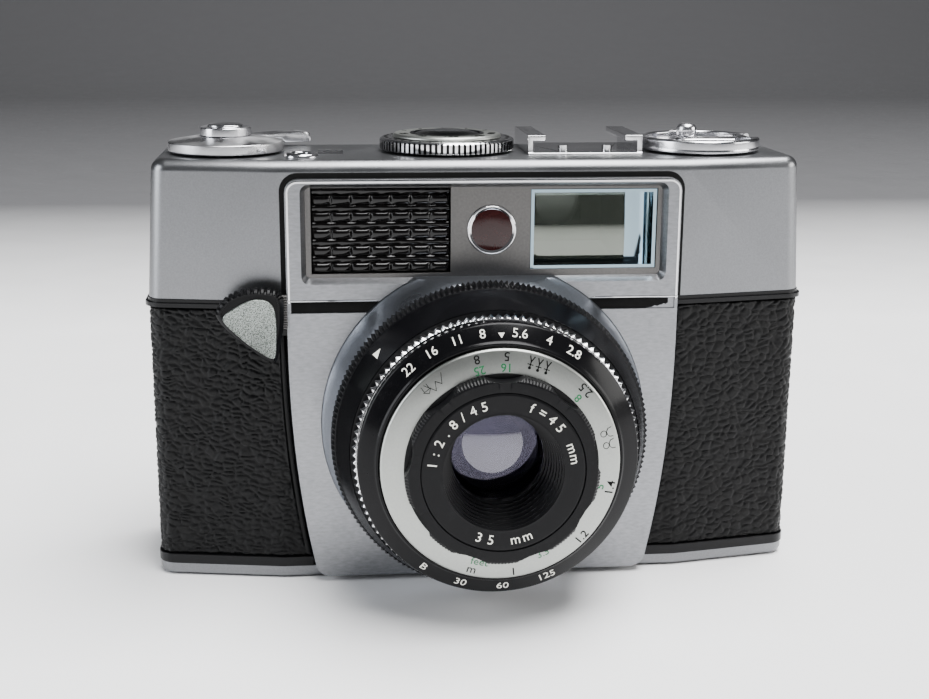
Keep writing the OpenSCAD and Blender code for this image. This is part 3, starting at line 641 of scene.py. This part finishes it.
def plate_half(z):
    """Half width of the face plate at height z: it tapers below 52 mm."""
    return 37.1 - 0.00059 * max(0, 52 - z) ** 2.3


def density(full):
    return full


class Outline:
    """The body's outline from the flat front round one corner to the side, walked in mm."""

    def __init__(self):
        cx = HALF_W - CORNER_R
        cy = FRONT_Y + (cx - FLAT_X) * math.tan(SWEEP) + CORNER_R / math.cos(SWEEP)
        self.wing = (cx + CORNER_R * math.sin(SWEEP) - FLAT_X) / math.cos(SWEEP)
        self.turn = CORNER_R * (math.pi / 2 - SWEEP)
        self.centre = (cx, cy)
        self.end = FLAT_X + self.wing + self.turn + (11.2 - cy)

    def at(self, s):
        """Point and outward normal at distance s from the middle plane."""
        cx, cy = self.centre
        if s < FLAT_X:
            return (s, FRONT_Y), (0, -1)
        s -= FLAT_X
        slope = (math.sin(SWEEP), -math.cos(SWEEP))
        if s < self.wing:
            return (FLAT_X + s * math.cos(SWEEP), FRONT_Y + s * math.sin(SWEEP)), slope
        s -= self.wing
        if s < self.turn:
            a = -math.pi / 2 + SWEEP + s / CORNER_R
            normal = (math.cos(a), math.sin(a))
            return (cx + CORNER_R * normal[0], cy + CORNER_R * normal[1]), normal
        return (HALF_W, cy + s - self.turn), (1, 0)


def smooth_loop(points, per=8):
    """A closed curve through the points, with per steps from each to the next."""
    out = []
    n = len(points)
    for i in range(n):
        p0, p1, p2, p3 = (Vector(points[(i + k - 1) % n]) for k in range(4))
        for k in range(per):
            t = k / per
            out.append(tuple(0.5 * ((2 * p1) + (p2 - p0) * t + (2 * p0 - 5 * p1 + 4 * p2 - p3) * t * t
                                    + (3 * p1 - p0 - 3 * p2 + p3) * t ** 3)))
    return out


def offset_loop(points, amount):
    """Moves a closed loop outwards (amount > 0), for a loop walked clockwise in x and z."""
    out = []
    n = len(points)
    for i, (x, z) in enumerate(points):
        ax, az = points[i - 1]
        bx, bz = points[(i + 1) % n]
        tx, tz = bx - ax, bz - az
        length = math.hypot(tx, tz) or 1
        out.append((x - tz / length * amount, z + tx / length * amount))
    return out


def stacked(loops):
    """A solid from closed loops of equal length, each a list of 3-D points, with its ends capped."""
    verts = [v for loop in loops for v in loop]
    n = len(loops[0])
    faces = []
    for k in range(len(loops) - 1):
        for j in range(n):
            m = (j + 1) % n
            faces.append((k * n + j, k * n + m, (k + 1) * n + m, (k + 1) * n + j))
    faces += [tuple(reversed(range(n))), tuple((len(loops) - 1) * n + j for j in range(n))]
    return verts, faces


def pebble(u, v, cell_u, cell_v, warp):
    """Depth of the leather grain below its crests, 0 to 1, at a point in mm."""
    drift = noise.noise(Vector((u * 0.35, v * 0.35, 3.1))) * warp
    sway = noise.noise(Vector((u * 0.35, v * 0.35, 9.7))) * warp
    spot = Vector(((u + drift) / cell_u, (v + sway) / cell_v, 0.5))
    near = noise.voronoi(spot)[0]
    crease = max(0.0, 1 - (near[1] - near[0]) / 0.34)
    swell = min(1.0, near[0] * 0.9)
    fine = noise.noise(Vector((u * 2.2, v * 2.2, 1.3)))
    return min(1.0, 0.72 * crease ** 1.6 + 0.26 * swell + 0.12 * fine)


def relief_panel(name, columns, rows, spot, grain, look, body, replaced, thickness):
    """A closed skin: a fine relief outside, plain sides and back. spot gives (point, normal)."""
    verts, faces = [], []
    back = {}
    for i in range(columns + 1):
        for j in range(rows + 1):
            place, normal, u, v = spot(i / columns, j / rows)
            edge = min(i, columns - i, j, rows - j)
            depth = grain(u, v) if edge > 0 else 0.5
            depth += 0.25 * max(0, 2 - edge)
            verts.append([p - n * depth for p, n in zip(place, normal)])
    for i in range(columns):
        for j in range(rows):
            a = i * (rows + 1) + j
            faces.append((a, a + rows + 1, a + rows + 2, a + 1))
    rim = [i * (rows + 1) for i in range(columns + 1)]
    rim += [columns * (rows + 1) + j for j in range(1, rows + 1)]
    rim += [i * (rows + 1) + rows for i in range(columns - 1, -1, -1)]
    rim += list(range(rows - 1, 0, -1))
    for k in rim:
        i, j = divmod(k, rows + 1)
        place, normal, _, _ = spot(i / columns, j / rows)
        back[k] = len(verts)
        verts.append([p - n * thickness for p, n in zip(place, normal)])
    for a, b in zip(rim, rim[1:] + rim[:1]):
        faces.append((a, b, back[b], back[a]))
    for i in range(columns):
        low = [back[i * (rows + 1)], back[(i + 1) * (rows + 1)]]
        high = [back[(i + 1) * (rows + 1) + rows], back[i * (rows + 1) + rows]]
        left = [back[j] for j in range(rows - 1, 0, -1)] if i == 0 else []
        right = [back[columns * (rows + 1) + j] for j in range(1, rows)] if i == columns - 1 else []
        faces.append(tuple(low + right + high + left))
    return add_object(name, (verts, faces), look, body, replaced, 60)


def leather_side(name, side, node, cell_u, cell_v, warp, deep):
    outline = Outline()
    border = 1.5

    def spot(u, v):
        z = RIM_Z + 0.02 + (BAND_Z - RIM_Z - 0.04) * v
        start = plate_half(z) + 0.25
        s = start + (outline.end - 0.05 - start) * u
        (x, y), (nx, ny) = outline.at(s)
        return (side * x, y, z), (side * nx, ny, 0), s, z

    def grain(s, z):
        # on the left, a smooth border with a groove runs along the face plate
        edge = s - plate_half(z) - 0.25 if side < 0 else border
        if edge < border:
            return 0.04 + 0.4 * max(0, 1 - abs(edge - border + 0.25) / 0.22)
        return 0.02 + deep * pebble(s + 100 * side, z, cell_u, cell_v, warp)

    relief_panel(name, density(200), density(250), spot, grain, "leather", "camera_body",
                 [node], 0.78)


def leather_back():
    def spot(u, v):
        x, z = -59.6 + 119.6 * u, 5.1 + 48.5 * v
        return (x, 15.5, z), (0, 1, 0), x, z

    def grain(x, z):
        return 0.02 + 0.34 * pebble(x, z, 1.9, 1.4, 0.8)

    relief_panel("back_leather_grain", density(300), 130, spot, grain, "leather", "door",
                 ["back_leather"], 0.78)


leather_side("leather_left_grain", -1, "leather_left", 1.9, 1.1, 0.9, 0.4)
leather_side("leather_right_grain", 1, "leather_right", 1.9, 1.35, 0.7, 0.36)
leather_back()

# ------------------------------------------------------------ front windows and badge

def honeycomb():
    """Meter window: rows of large moulded lenses with small ones between them."""
    x0, x1, z0, z1 = -32.35, -6.45, 61.05, 77.05
    pitch_x, pitch_z = (x1 - x0) / 7, (z1 - z0) / 5
    big = 0.6           # share of each row that the large lenses take

    def height(x, z):
        col = (x - x0) / pitch_x
        row = (z - z0) / pitch_z
        u = 2 * (col % 1) - 1
        w = row % 1
        if w < big:
            v = 2 * w / big - 1
            dome = max(0, 1 - abs(u) ** 3.2) * max(0, 1 - abs(v) ** 2.6)
            return 0.62 * dome ** 0.75
        v = 2 * (w - big) / (1 - big) - 1
        lean = (col + 0.5) % 1
        ridge = max(0, 1 - abs(v) ** 2)
        return 0.34 * ridge * (0.35 + 0.65 * math.sin(math.pi * lean) ** 1.2)

    def spot(u, v):
        x, z = x0 + (x1 - x0) * u, z0 + (z1 - z0) * v
        return (x, -15.15, z), (0, -1, 0), x, z

    def grain(x, z):
        return -height(x, z)

    relief_panel("meter_window_prisms", density(220), density(150), spot, grain, "prism",
                 "camera_body", ["meter_window"], 0.9)


def badge():
    def point(r, d, a):
        return (1.3 + r * math.sin(a), -d, 69.1 + r * math.cos(a))

    rim = soften([(3.9, 16.0), (4.65, 16.0), (4.65, 16.55, 0.15), (4.4, 16.85, 0.15), (3.9, 16.6)])
    add_object("badge_rim", lathe(rim, point, 96), "chrome", "camera_body", ["badge"])
    disc = [(0.05, 16.75), (1.5, 16.74), (3.0, 16.68), (3.95, 16.55), (3.95, 16.05), (0.05, 16.05)]
    add_object("badge_enamel", turned(disc, point, 96), "enamel", "camera_body", ())


def plate_border(name, section, look):
    """A strip of the given (distance outside the plate's edge, y) section, round its upper half."""
    z0, top, half, radius = 55.85, 78.8, 37.1, 2.4

    def ring(grow, y):
        cz = top - radius
        pts = [(half + grow, z0), (half + grow, cz)]
        pts += [(half - radius + (radius + grow) * math.cos(a), cz + (radius + grow) * math.sin(a))
                for a in (math.pi / 2 * k / 10 for k in range(1, 11))]
        pts += [(-x, z) for x, z in reversed(pts)]
        return [(x, y, z) for x, z in pts]

    rings = [ring(grow, y) for grow, y in section]
    add_object(name, stacked(list(zip(*rings))), look, "camera_body", ())


def painted_stripe():
    """Black paint in the plate's groove, worn away raggedly at its right end."""
    for name, x0, x1, worn in (("stripe_left", -36.3, -19.9, False),
                               ("stripe_right", 19.9, 35.2, True)):
        steps = 60
        sections = []
        for k in range(steps + 1):
            x = x0 + (x1 - x0) * k / steps
            wear = max(0, (k / steps - 0.72) / 0.28) if worn else 0
            bite = wear * (0.55 + 0.5 * noise.noise(Vector((x * 1.7, 0.2, 4))))
            low, high = 53.95 + 1.7 * min(1, max(0, bite)), 56.0 - 0.12 * wear
            sections.append([(x, y, z) for y, z in ((-17.55, low), (-17.55, high),
                                                    (-17.66, high), (-17.66, low))])
        add_object(name, stacked(sections), "ink", "camera_body", ())
        # bright lower edge of the window panel, above the paint
        rail = [(-17.7, 56.1), (-18.02, 56.16), (-18.1, 56.3), (-18.02, 56.44), (-17.7, 56.5)]
        ends = (-37.0, -20.4) if x0 < 0 else (20.4, 37.0)
        add_object(name.replace("stripe", "panel_edge"),
                   stacked([[(x, y, z) for y, z in rail] for x in ends]), "chrome", "camera_body", ())


def finder_glass():
    """Front glass of the viewfinder, a little domed from top to bottom."""
    x0, x1, z0, z1, crown, crest = 9.35, 27.35, 62.25, 75.95, 44, 66.5
    rows, sections = 24, []
    for k in range(rows + 1):
        z = z0 + (z1 - z0) * k / rows
        y = -12.85 + crown - math.sqrt(crown ** 2 - (z - crest) ** 2)
        sections.append([(x0, y, z), (x1, y, z), (x1, -11.42, z), (x0, -11.42, z)])
    add_object("finder_front_glass", stacked(sections), "finder_glass", "camera_body",
               ["finder_front_lens"])


honeycomb()
finder_glass()
badge()
# painted shadow: a black strip round the face plate's upper half, on the cover's face, in place of
# the shadow in the gap between plate and cover
plate_border("plate_shadow_strip", [(-0.1, -15.3), (-0.1, -15.8), (0.95, -15.68), (1.1, -15.3)],
             "ink")
plate_border("plate_bead", [(-0.75, -17.8), (-0.62, -18.05), (-0.3, -18.05), (-0.2, -17.8)],
             "chrome")
painted_stripe()

# ------------------------------------------------------------ top plate

def advance():
    point = around_post(*ADVANCE)
    disc = soften([(1.6, 82.35), (10.7, 82.35, 0.15), (11, 82.6, 0.1), (11, 84.1, 0.12),
                   (10.85, 84.28, 0.1), (10.3, 84.4, 0.3), (5.4, 85.2, 0.5), (4.6, 85.22),
                   (1.6, 85.2)], 5)
    add_object("advance_disc", lathe(disc, point, 180), "spun", "advance", ["advance_lever"])
    stem = [(1.6, 75.05), (2.58, 75.05), (2.58, 82.5), (1.6, 82.5)]
    add_object("advance_stem", lathe(stem, point, 64), "steel", "advance", ())
    cap = soften([(0.05, 85.32), (4.8, 85.32), (4.9, 85.42), (4.9, 86.75, 0.15), (4.7, 86.92, 0.1),
                  (3.55, 86.95, 0.05), (3.4, 87.02, 0.05), (3.36, 87.3, 0.12), (2.9, 87.5, 0.2),
                  (0.05, 87.5)], 5)
    add_object("advance_cap_stepped", turned(cap, point, 120), "turned", "camera_body",
               ["advance_cap"])
    stud = [(0.05, 85.4), (1.5, 85.4), (1.5, 62.1), (0.05, 62.1)]
    add_object("advance_stud", turned(stud, point, 32), "steel", "camera_body", ())
    # thumb arm: a flat bar that bends down at its tip, along the cover's back edge
    path = [(-45.6, 6.3, 84.6, 2.6, 0.9), (-43.0, 8.0, 84.75, 2.6, 0.9),
            (-39.9, 9.9, 84.85, 2.5, 0.95), (-38.9, 10.5, 84.88, 2.4, 1.2),
            (-38.3, 10.9, 84.88, 2.4, 2.0), (-34.4, 12.9, 84.85, 2.0, 2.05),
            (-33.3, 13.4, 84.7, 1.7, 1.9), (-32.9, 13.6, 84.4, 1.3, 1.5)]
    sections = []
    for x, y, z, half, deep in path:
        across = ((-half, 0.2 - deep), (-half + 0.2, -deep), (half - 0.2, -deep), (half, 0.2 - deep),
                  (half, -0.15), (half - 0.35, 0), (-half + 0.35, 0), (-half, -0.15))
        sections.append([(x - 0.45 * dx, y + 0.774 * dx, z + dz) for dx, dz in across])
    add_object("advance_arm", stacked(sections), "turned", "advance", (), 50)


def paint_groove_shade(obj):
    """Painted shade: black on the floors of the dial's milled grooves, in place of the shadow in
    them.
    """
    obj.data.materials.append(MAT["trim"])
    for face in obj.data.polygons:
        away = math.hypot(face.center.x / MM - DIAL[0], face.center.y / MM - DIAL[1])
        upright = abs(face.normal.z) < 0.5
        if 12 < away < 12.9 and 82.6 < face.center.z / MM < 84.3 and upright:
            face.material_index = 1


def exposure_dial():
    teeth, steps = 76, 8
    point = around_post(*DIAL)
    body = soften([(7.25, 82.3), (12.7, 82.3), (13.1, 82.55, 0.1), (13.15, 82.7), (13.15, 84.3),
                   (13.0, 84.5), (12.7, 84.72, 0.15), (11.3, 84.8, 0.1), (11.1, 84.65),
                   (7.25, 84.65)])

    def notch(i, r, d):
        return 0.5 * (i % steps < 3) if r > 12.95 and 82.5 < d < 84.4 else 0

    dial = add_object("dial_ring_milled", lathe(body, point, teeth * steps, notch), "chrome",
                      "exposure_dial", ["dial_ring"], 30)
    # the black on the dial's groove floors is painted shade
    paint_groove_shade(dial)
    disc = soften([(7.25, 84.85), (10.6, 84.85), (10.65, 84.95), (10.55, 85.25, 0.15),
                   (10.2, 85.5, 0.1), (7.4, 85.5, 0.1), (7.25, 85.4)])
    add_object("film_speed_disc_turned", lathe(disc, point, 160), "scale", "film_speed",
               ["film_speed_disc"])


def dial_figures():
    def tick(half, reach):
        return plate_mesh("tick", [[(-half, -reach), (half, -reach), (half, reach), (-half, reach)]])

    def lying(angle, r, z):
        a = math.radians(angle)
        matrix = Matrix.Rotation(a, 4, "Z")
        matrix.translation = around_post(*DIAL)(r, z, a)
        return matrix

    black = []
    for k, text in enumerate(("25", "50", "100", "200", "400")):
        black.append((flat_text("film", text, 1.5), lying(-76 + 38 * k, 8.9, 85.53)))
    black += [(tick(0.07, 0.5), lying(120 + 30 * k, 9.3, 85.5)) for k in range(5)]
    figures("film_speed_figures", black, "ink", "film_speed")
    marks = [(tick(0.06, 0.35), lying(10 * k, 11.95, 84.76)) for k in range(36)]
    figures("dial_ticks", marks, "ink", "exposure_dial")


def crank_grip():
    shape = soften([(0.05, 83.5), (0.7, 83.5), (0.7, 84.6), (1.6, 84.7, 0.3), (2.0, 85.5, 0.6),
                    (1.95, 86.7, 0.6), (1.3, 87.3, 0.5), (0.05, 87.4)], 5)
    add_object("crank_grip_turned", turned(shape, around_post(*GRIP), 64), "turned", "crank_knob",
               ["crank_grip"])


def cable_socket():
    ring = soften([(1.6, 77.6), (2.4, 77.6), (2.4, 82.0), (3.25, 82.0), (3.3, 82.25, 0.15),
                   (3.05, 82.8, 0.35), (2.3, 82.98, 0.3), (1.75, 82.9, 0.15), (1.6, 82.6)], 5)
    add_object("cable_socket_turned", lathe(ring, around_post(*SOCKET), 96), "turned", "camera_body",
               ["cable_socket"])
    plug = [(0.05, 77.1), (2.4, 77.1), (2.4, 77.58), (0.05, 77.58)]
    add_object("cable_socket_floor", turned(plug, around_post(*SOCKET), 48), "steel", "camera_body",
               ())


def open_ring(profile, point, start, stop, turns):
    """Part of a ring between two angles, with its two ends closed."""
    return stacked([[point(r, d, start + (stop - start) * i / turns) for r, d in profile]
                    for i in range(turns + 1)])


def rewind_disc():
    x, y = REWIND
    point = around_post(x, y)
    base = soften([(0.05, 82.32), (11.6, 82.32), (11.85, 82.5, 0.1), (11.85, 83.1), (11.7, 83.3, 0.1),
                   (0.05, 83.3)])
    add_object("rewind_disc_base", turned(base, point, 160), "turned", "rewind", ["rewind_knob"])
    rim = soften([(10.5, 83.15), (11.82, 83.15), (11.82, 84.5, 0.15), (11.55, 84.88, 0.25),
                  (10.7, 84.88, 0.15), (10.5, 84.6, 0.1)], 4)
    gap = math.asin(3.65 / 11.85)
    add_object("rewind_disc_rim",
               open_ring(rim, point, math.pi / 2 + gap, math.pi / 2 + TAU - gap, 150), "turned",
               "rewind", ())
    for side in (-1, 1):
        lug = [(6.2, side * 3.62), (10.9, side * 3.62), (10.6, side * 4.3), (6.2, side * 4.3)]
        if side < 0:
            lug.reverse()
        add_object("rewind_lug",
                   stacked([[(x + u, y + v, z) for u, v in lug] for z in (83.2, 84.85)]), "turned",
                   "rewind", ())
    shaft = [(0.05, 50.1), (2.35, 50.1), (2.35, 52.3), (1.22, 52.35), (1.22, 82.4), (0.05, 82.4)]
    add_object("rewind_shaft", turned(shaft, point, 48), "steel", "rewind", ())


def crank_arm():
    """Flat crank with a round end under its grip and a rolled hinge at the disc's edge."""
    x, y = GRIP
    hinge = 53.55

    def across(r, d, a):
        return (hinge + r * math.sin(a), y + d, 84.15 + r * math.cos(a))

    loop = [(x + 2.3 * math.cos(a), y + 2.3 * math.sin(a))
            for a in (math.radians(100 + 160 * k / 16) for k in range(17))]
    loop += [(hinge - 3, y - 3.1), (hinge, y - 3.15), (hinge, y + 3.15), (hinge - 3, y + 3.1)]
    ring = offset_loop(loop, 0.25)
    form = stacked([[(u, v, 83.52) for u, v in loop], [(u, v, 84.2) for u, v in loop],
                    [(u, v, 84.45) for u, v in ring]])
    add_object("crank_arm_flat", form, "turned", "crank", ["rewind_crank"], 50)
    roll = [(0.05, 3.38), (0.75, 3.38), (0.8, 3.2), (0.8, -3.2), (0.75, -3.38), (0.05, -3.38)]
    add_object("crank_hinge", turned(roll, across, 32), "turned", "crank", ())
    axle = [(0.05, 4.25), (0.45, 4.25), (0.45, -4.25), (0.05, -4.25)]
    add_object("crank_axle", turned(axle, across, 24), "steel", "crank", ())


# ------------------------------------------------------------ release lever

def release_lever():
    edge = [(-50.0, 54.8), (-48.2, 57.5), (-45.2, 58.9), (-41.6, 59.2), (-38.7, 58.6), (-37.7, 57.0),
            (-37.6, 54.5), (-37.8, 51.5), (-38.4, 48.6), (-39.0, 45.8), (-40.0, 45.3), (-42.0, 46.5),
            (-44.9, 48.8), (-48.2, 51.8)]
    loop = smooth_loop(edge, 14)
    milled = [i % 5 < 2 and z > 54.6 and x < -37.8 for i, (x, z) in enumerate(loop)]

    def ring(shrink, y, teeth):
        moved = offset_loop(loop, -shrink)
        deep = offset_loop(loop, -shrink - 0.45)
        return [(m[0], y, m[1]) if not (teeth and milled[i]) else (deep[i][0], y, deep[i][1])
                for i, m in enumerate(moved)]

    loops = [ring(0.3, -18.2, True), ring(0.0, -18.45, True), ring(0.0, -20.6, True),
             ring(0.35, -21.1, True), ring(0.75, -21.3, False), ring(1.0, -21.28, False),
             ring(1.05, -20.9, False)]
    add_object("release_lever_milled", stacked(loops), "knurl", "release", ["release_lever"],
               30)
    inner = [(-48.7, 53.7), (-46.4, 55.9), (-43.4, 57.3), (-40.9, 57.2), (-39.5, 56.0), (-39.0, 53.4),
             (-39.0, 50.2), (-39.2, 47.0), (-39.9, 46.2), (-42.0, 47.3), (-45.3, 49.9)]
    pad = smooth_loop(inner, 8)

    def pad_ring(shrink, y):
        return [(x, y, z) for x, z in offset_loop(pad, -shrink)]

    form = stacked([pad_ring(0, -20.7), pad_ring(0, -21.2), pad_ring(0.05, -21.36),
                    pad_ring(0.14, -21.42), pad_ring(0.24, -21.36), pad_ring(0.3, -21.34)])
    add_object("release_inlay_stippled", form, "inlay", "release", ["release_inlay"], 50)
    # arm that runs behind the face plate to its pivot
    arm = [(-43.9, 49.6), (-43.9, 53.4), (-24, 53.8), (-22.2, 53.1), (-21.7, 51.5), (-22.2, 49.9),
           (-24, 49.2)]
    add_object("release_arm", stacked([[(x, y, z) for x, z in arm] for y in (-15.76, -16.64)]),
               "trim", "release", ())
    # bracket between the lever and the face plate
    low, ribs, pitch = 51.2, 14, 0.46
    bracket = [(-18.15, low + ribs * pitch), (-18.15, low)]
    for k in range(ribs):
        bracket += [(-18.85, low + k * pitch), (-19.1, low + (k + 0.35) * pitch),
                    (-19.1, low + (k + 0.65) * pitch), (-18.85, low + (k + 1) * pitch - 0.02)]
    add_object("release_bracket", stacked([[(x, y, z) for y, z in bracket] for x in (-38.25, -37.0)]),
               "panel", "release", (), 25)
    neck = [(-43.9, 49.7), (-43.9, 53.3), (-38.45, 53.3), (-38.45, 49.7)]
    add_object("release_neck", stacked([[(x, y, z) for x, z in neck] for y in (-16.5, -18.6)]),
               "trim", "release", ())


advance()
exposure_dial()
dial_figures()
cable_socket()
rewind_disc()
crank_arm()
crank_grip()
release_lever()

# ------------------------------------------------------------ stage, lights and camera

def studio():
    """Floor that sweeps up into a back wall."""
    width, near, far, bend, tall = 3.0, -2.2, 1.3, 0.6, 2.2
    section = [(near, 0.0), (far, 0.0)]
    section += [(far + bend * math.sin(a), bend - bend * math.cos(a))
                for a in (math.pi / 2 * k / 16 for k in range(1, 17))]
    section.append((far + bend, tall))
    verts, faces = [], []
    for y, z in section:
        verts += [(-width, y, z), (width, y, z)]
    for k in range(len(section) - 1):
        faces.append((2 * k, 2 * k + 1, 2 * k + 3, 2 * k + 2))
    mesh = bpy.data.meshes.new("floor")
    mesh.from_pydata(verts, [], faces)
    mesh.polygons.foreach_set("use_smooth", [True] * len(mesh.polygons))
    floor_mat = new_material("floor_paper", (0.86, 0.86, 0.865), 0.5, 0.0, Specular_IOR_Level=0.2)
    g = Graph(floor_mat)
    spread = g.add("SeparateXYZ")
    g.link(g.coord, spread.inputs[0])
    # painted shade on the far floor, and the dark colour of the wall behind: the colour turns from
    # pale to dark between 0.2 m and 0.5 m behind the object
    g.drive("Base Color", g.mix(g.ramp(spread.outputs["Y"], 0.2, 0.5, 0, 1), (0.9, 0.9, 0.905),
                                (0.13, 0.13, 0.135)))
    g.drive("Roughness", g.ramp(g.noise(40), 0.3, 0.7, 0.42, 0.55))
    mesh.materials.append(floor_mat)
    obj = bpy.data.objects.new("floor", mesh)
    bpy.context.scene.collection.objects.link(obj)


def area_light(name, place, target, size, power, color=(1, 1, 1)):
    data = bpy.data.lights.new(name, "AREA")
    data.shape = "RECTANGLE"
    data.size, data.size_y = size
    data.energy = power
    data.color = color
    obj = bpy.data.objects.new(name, data)
    obj.location = place
    obj.rotation_euler = (Vector(target) - Vector(place)).to_track_quat("-Z", "Y").to_euler()
    bpy.context.scene.collection.objects.link(obj)


def sky():
    world = bpy.data.worlds.new("studio")
    bpy.context.scene.world = world
    world.use_nodes = True
    background = world.node_tree.nodes["Background"]
    background.inputs["Color"].default_value = (0.60, 0.62, 0.66, 1)
    background.inputs["Strength"].default_value = 0.16


def camera():
    place = Vector(mm(-30.27, -274.1, 111.68))
    yaw, pitch, roll = (math.radians(a) for a in (5.89, 14.21, 0.40))
    level = math.cos(pitch)
    forward = Vector((math.sin(yaw) * level, math.cos(yaw) * level, -math.sin(pitch)))
    right = Vector((math.cos(yaw), -math.sin(yaw), 0))
    up = right.cross(forward)
    x_axis = right * math.cos(roll) + up * math.sin(roll)
    y_axis = -right * math.sin(roll) + up * math.cos(roll)
    data = bpy.data.cameras.new("camera")
    data.sensor_width = 36
    data.lens = 54.27
    data.clip_start = 0.01
    obj = bpy.data.objects.new("camera", data)
    obj.matrix_world = Matrix((x_axis, y_axis, -forward)).transposed().to_4x4()
    obj.matrix_world.translation = place
    bpy.context.scene.collection.objects.link(obj)
    bpy.context.scene.camera = obj


studio()
sky()
camera()
area_light("top_soft", (0.25, -0.15, 1.2), (0.05, -0.1, 0), (1.3, 0.7), 54)
area_light("right_key", (1.25, -0.3, 0.4), (0, 0, 0.05), (0.8, 0.5), 11, (1, 0.985, 0.96))
area_light("left_strip", (-1.0, -0.25, 0.3), (0, 0, 0.05), (0.5, 0.8), 10, (0.93, 0.96, 1))
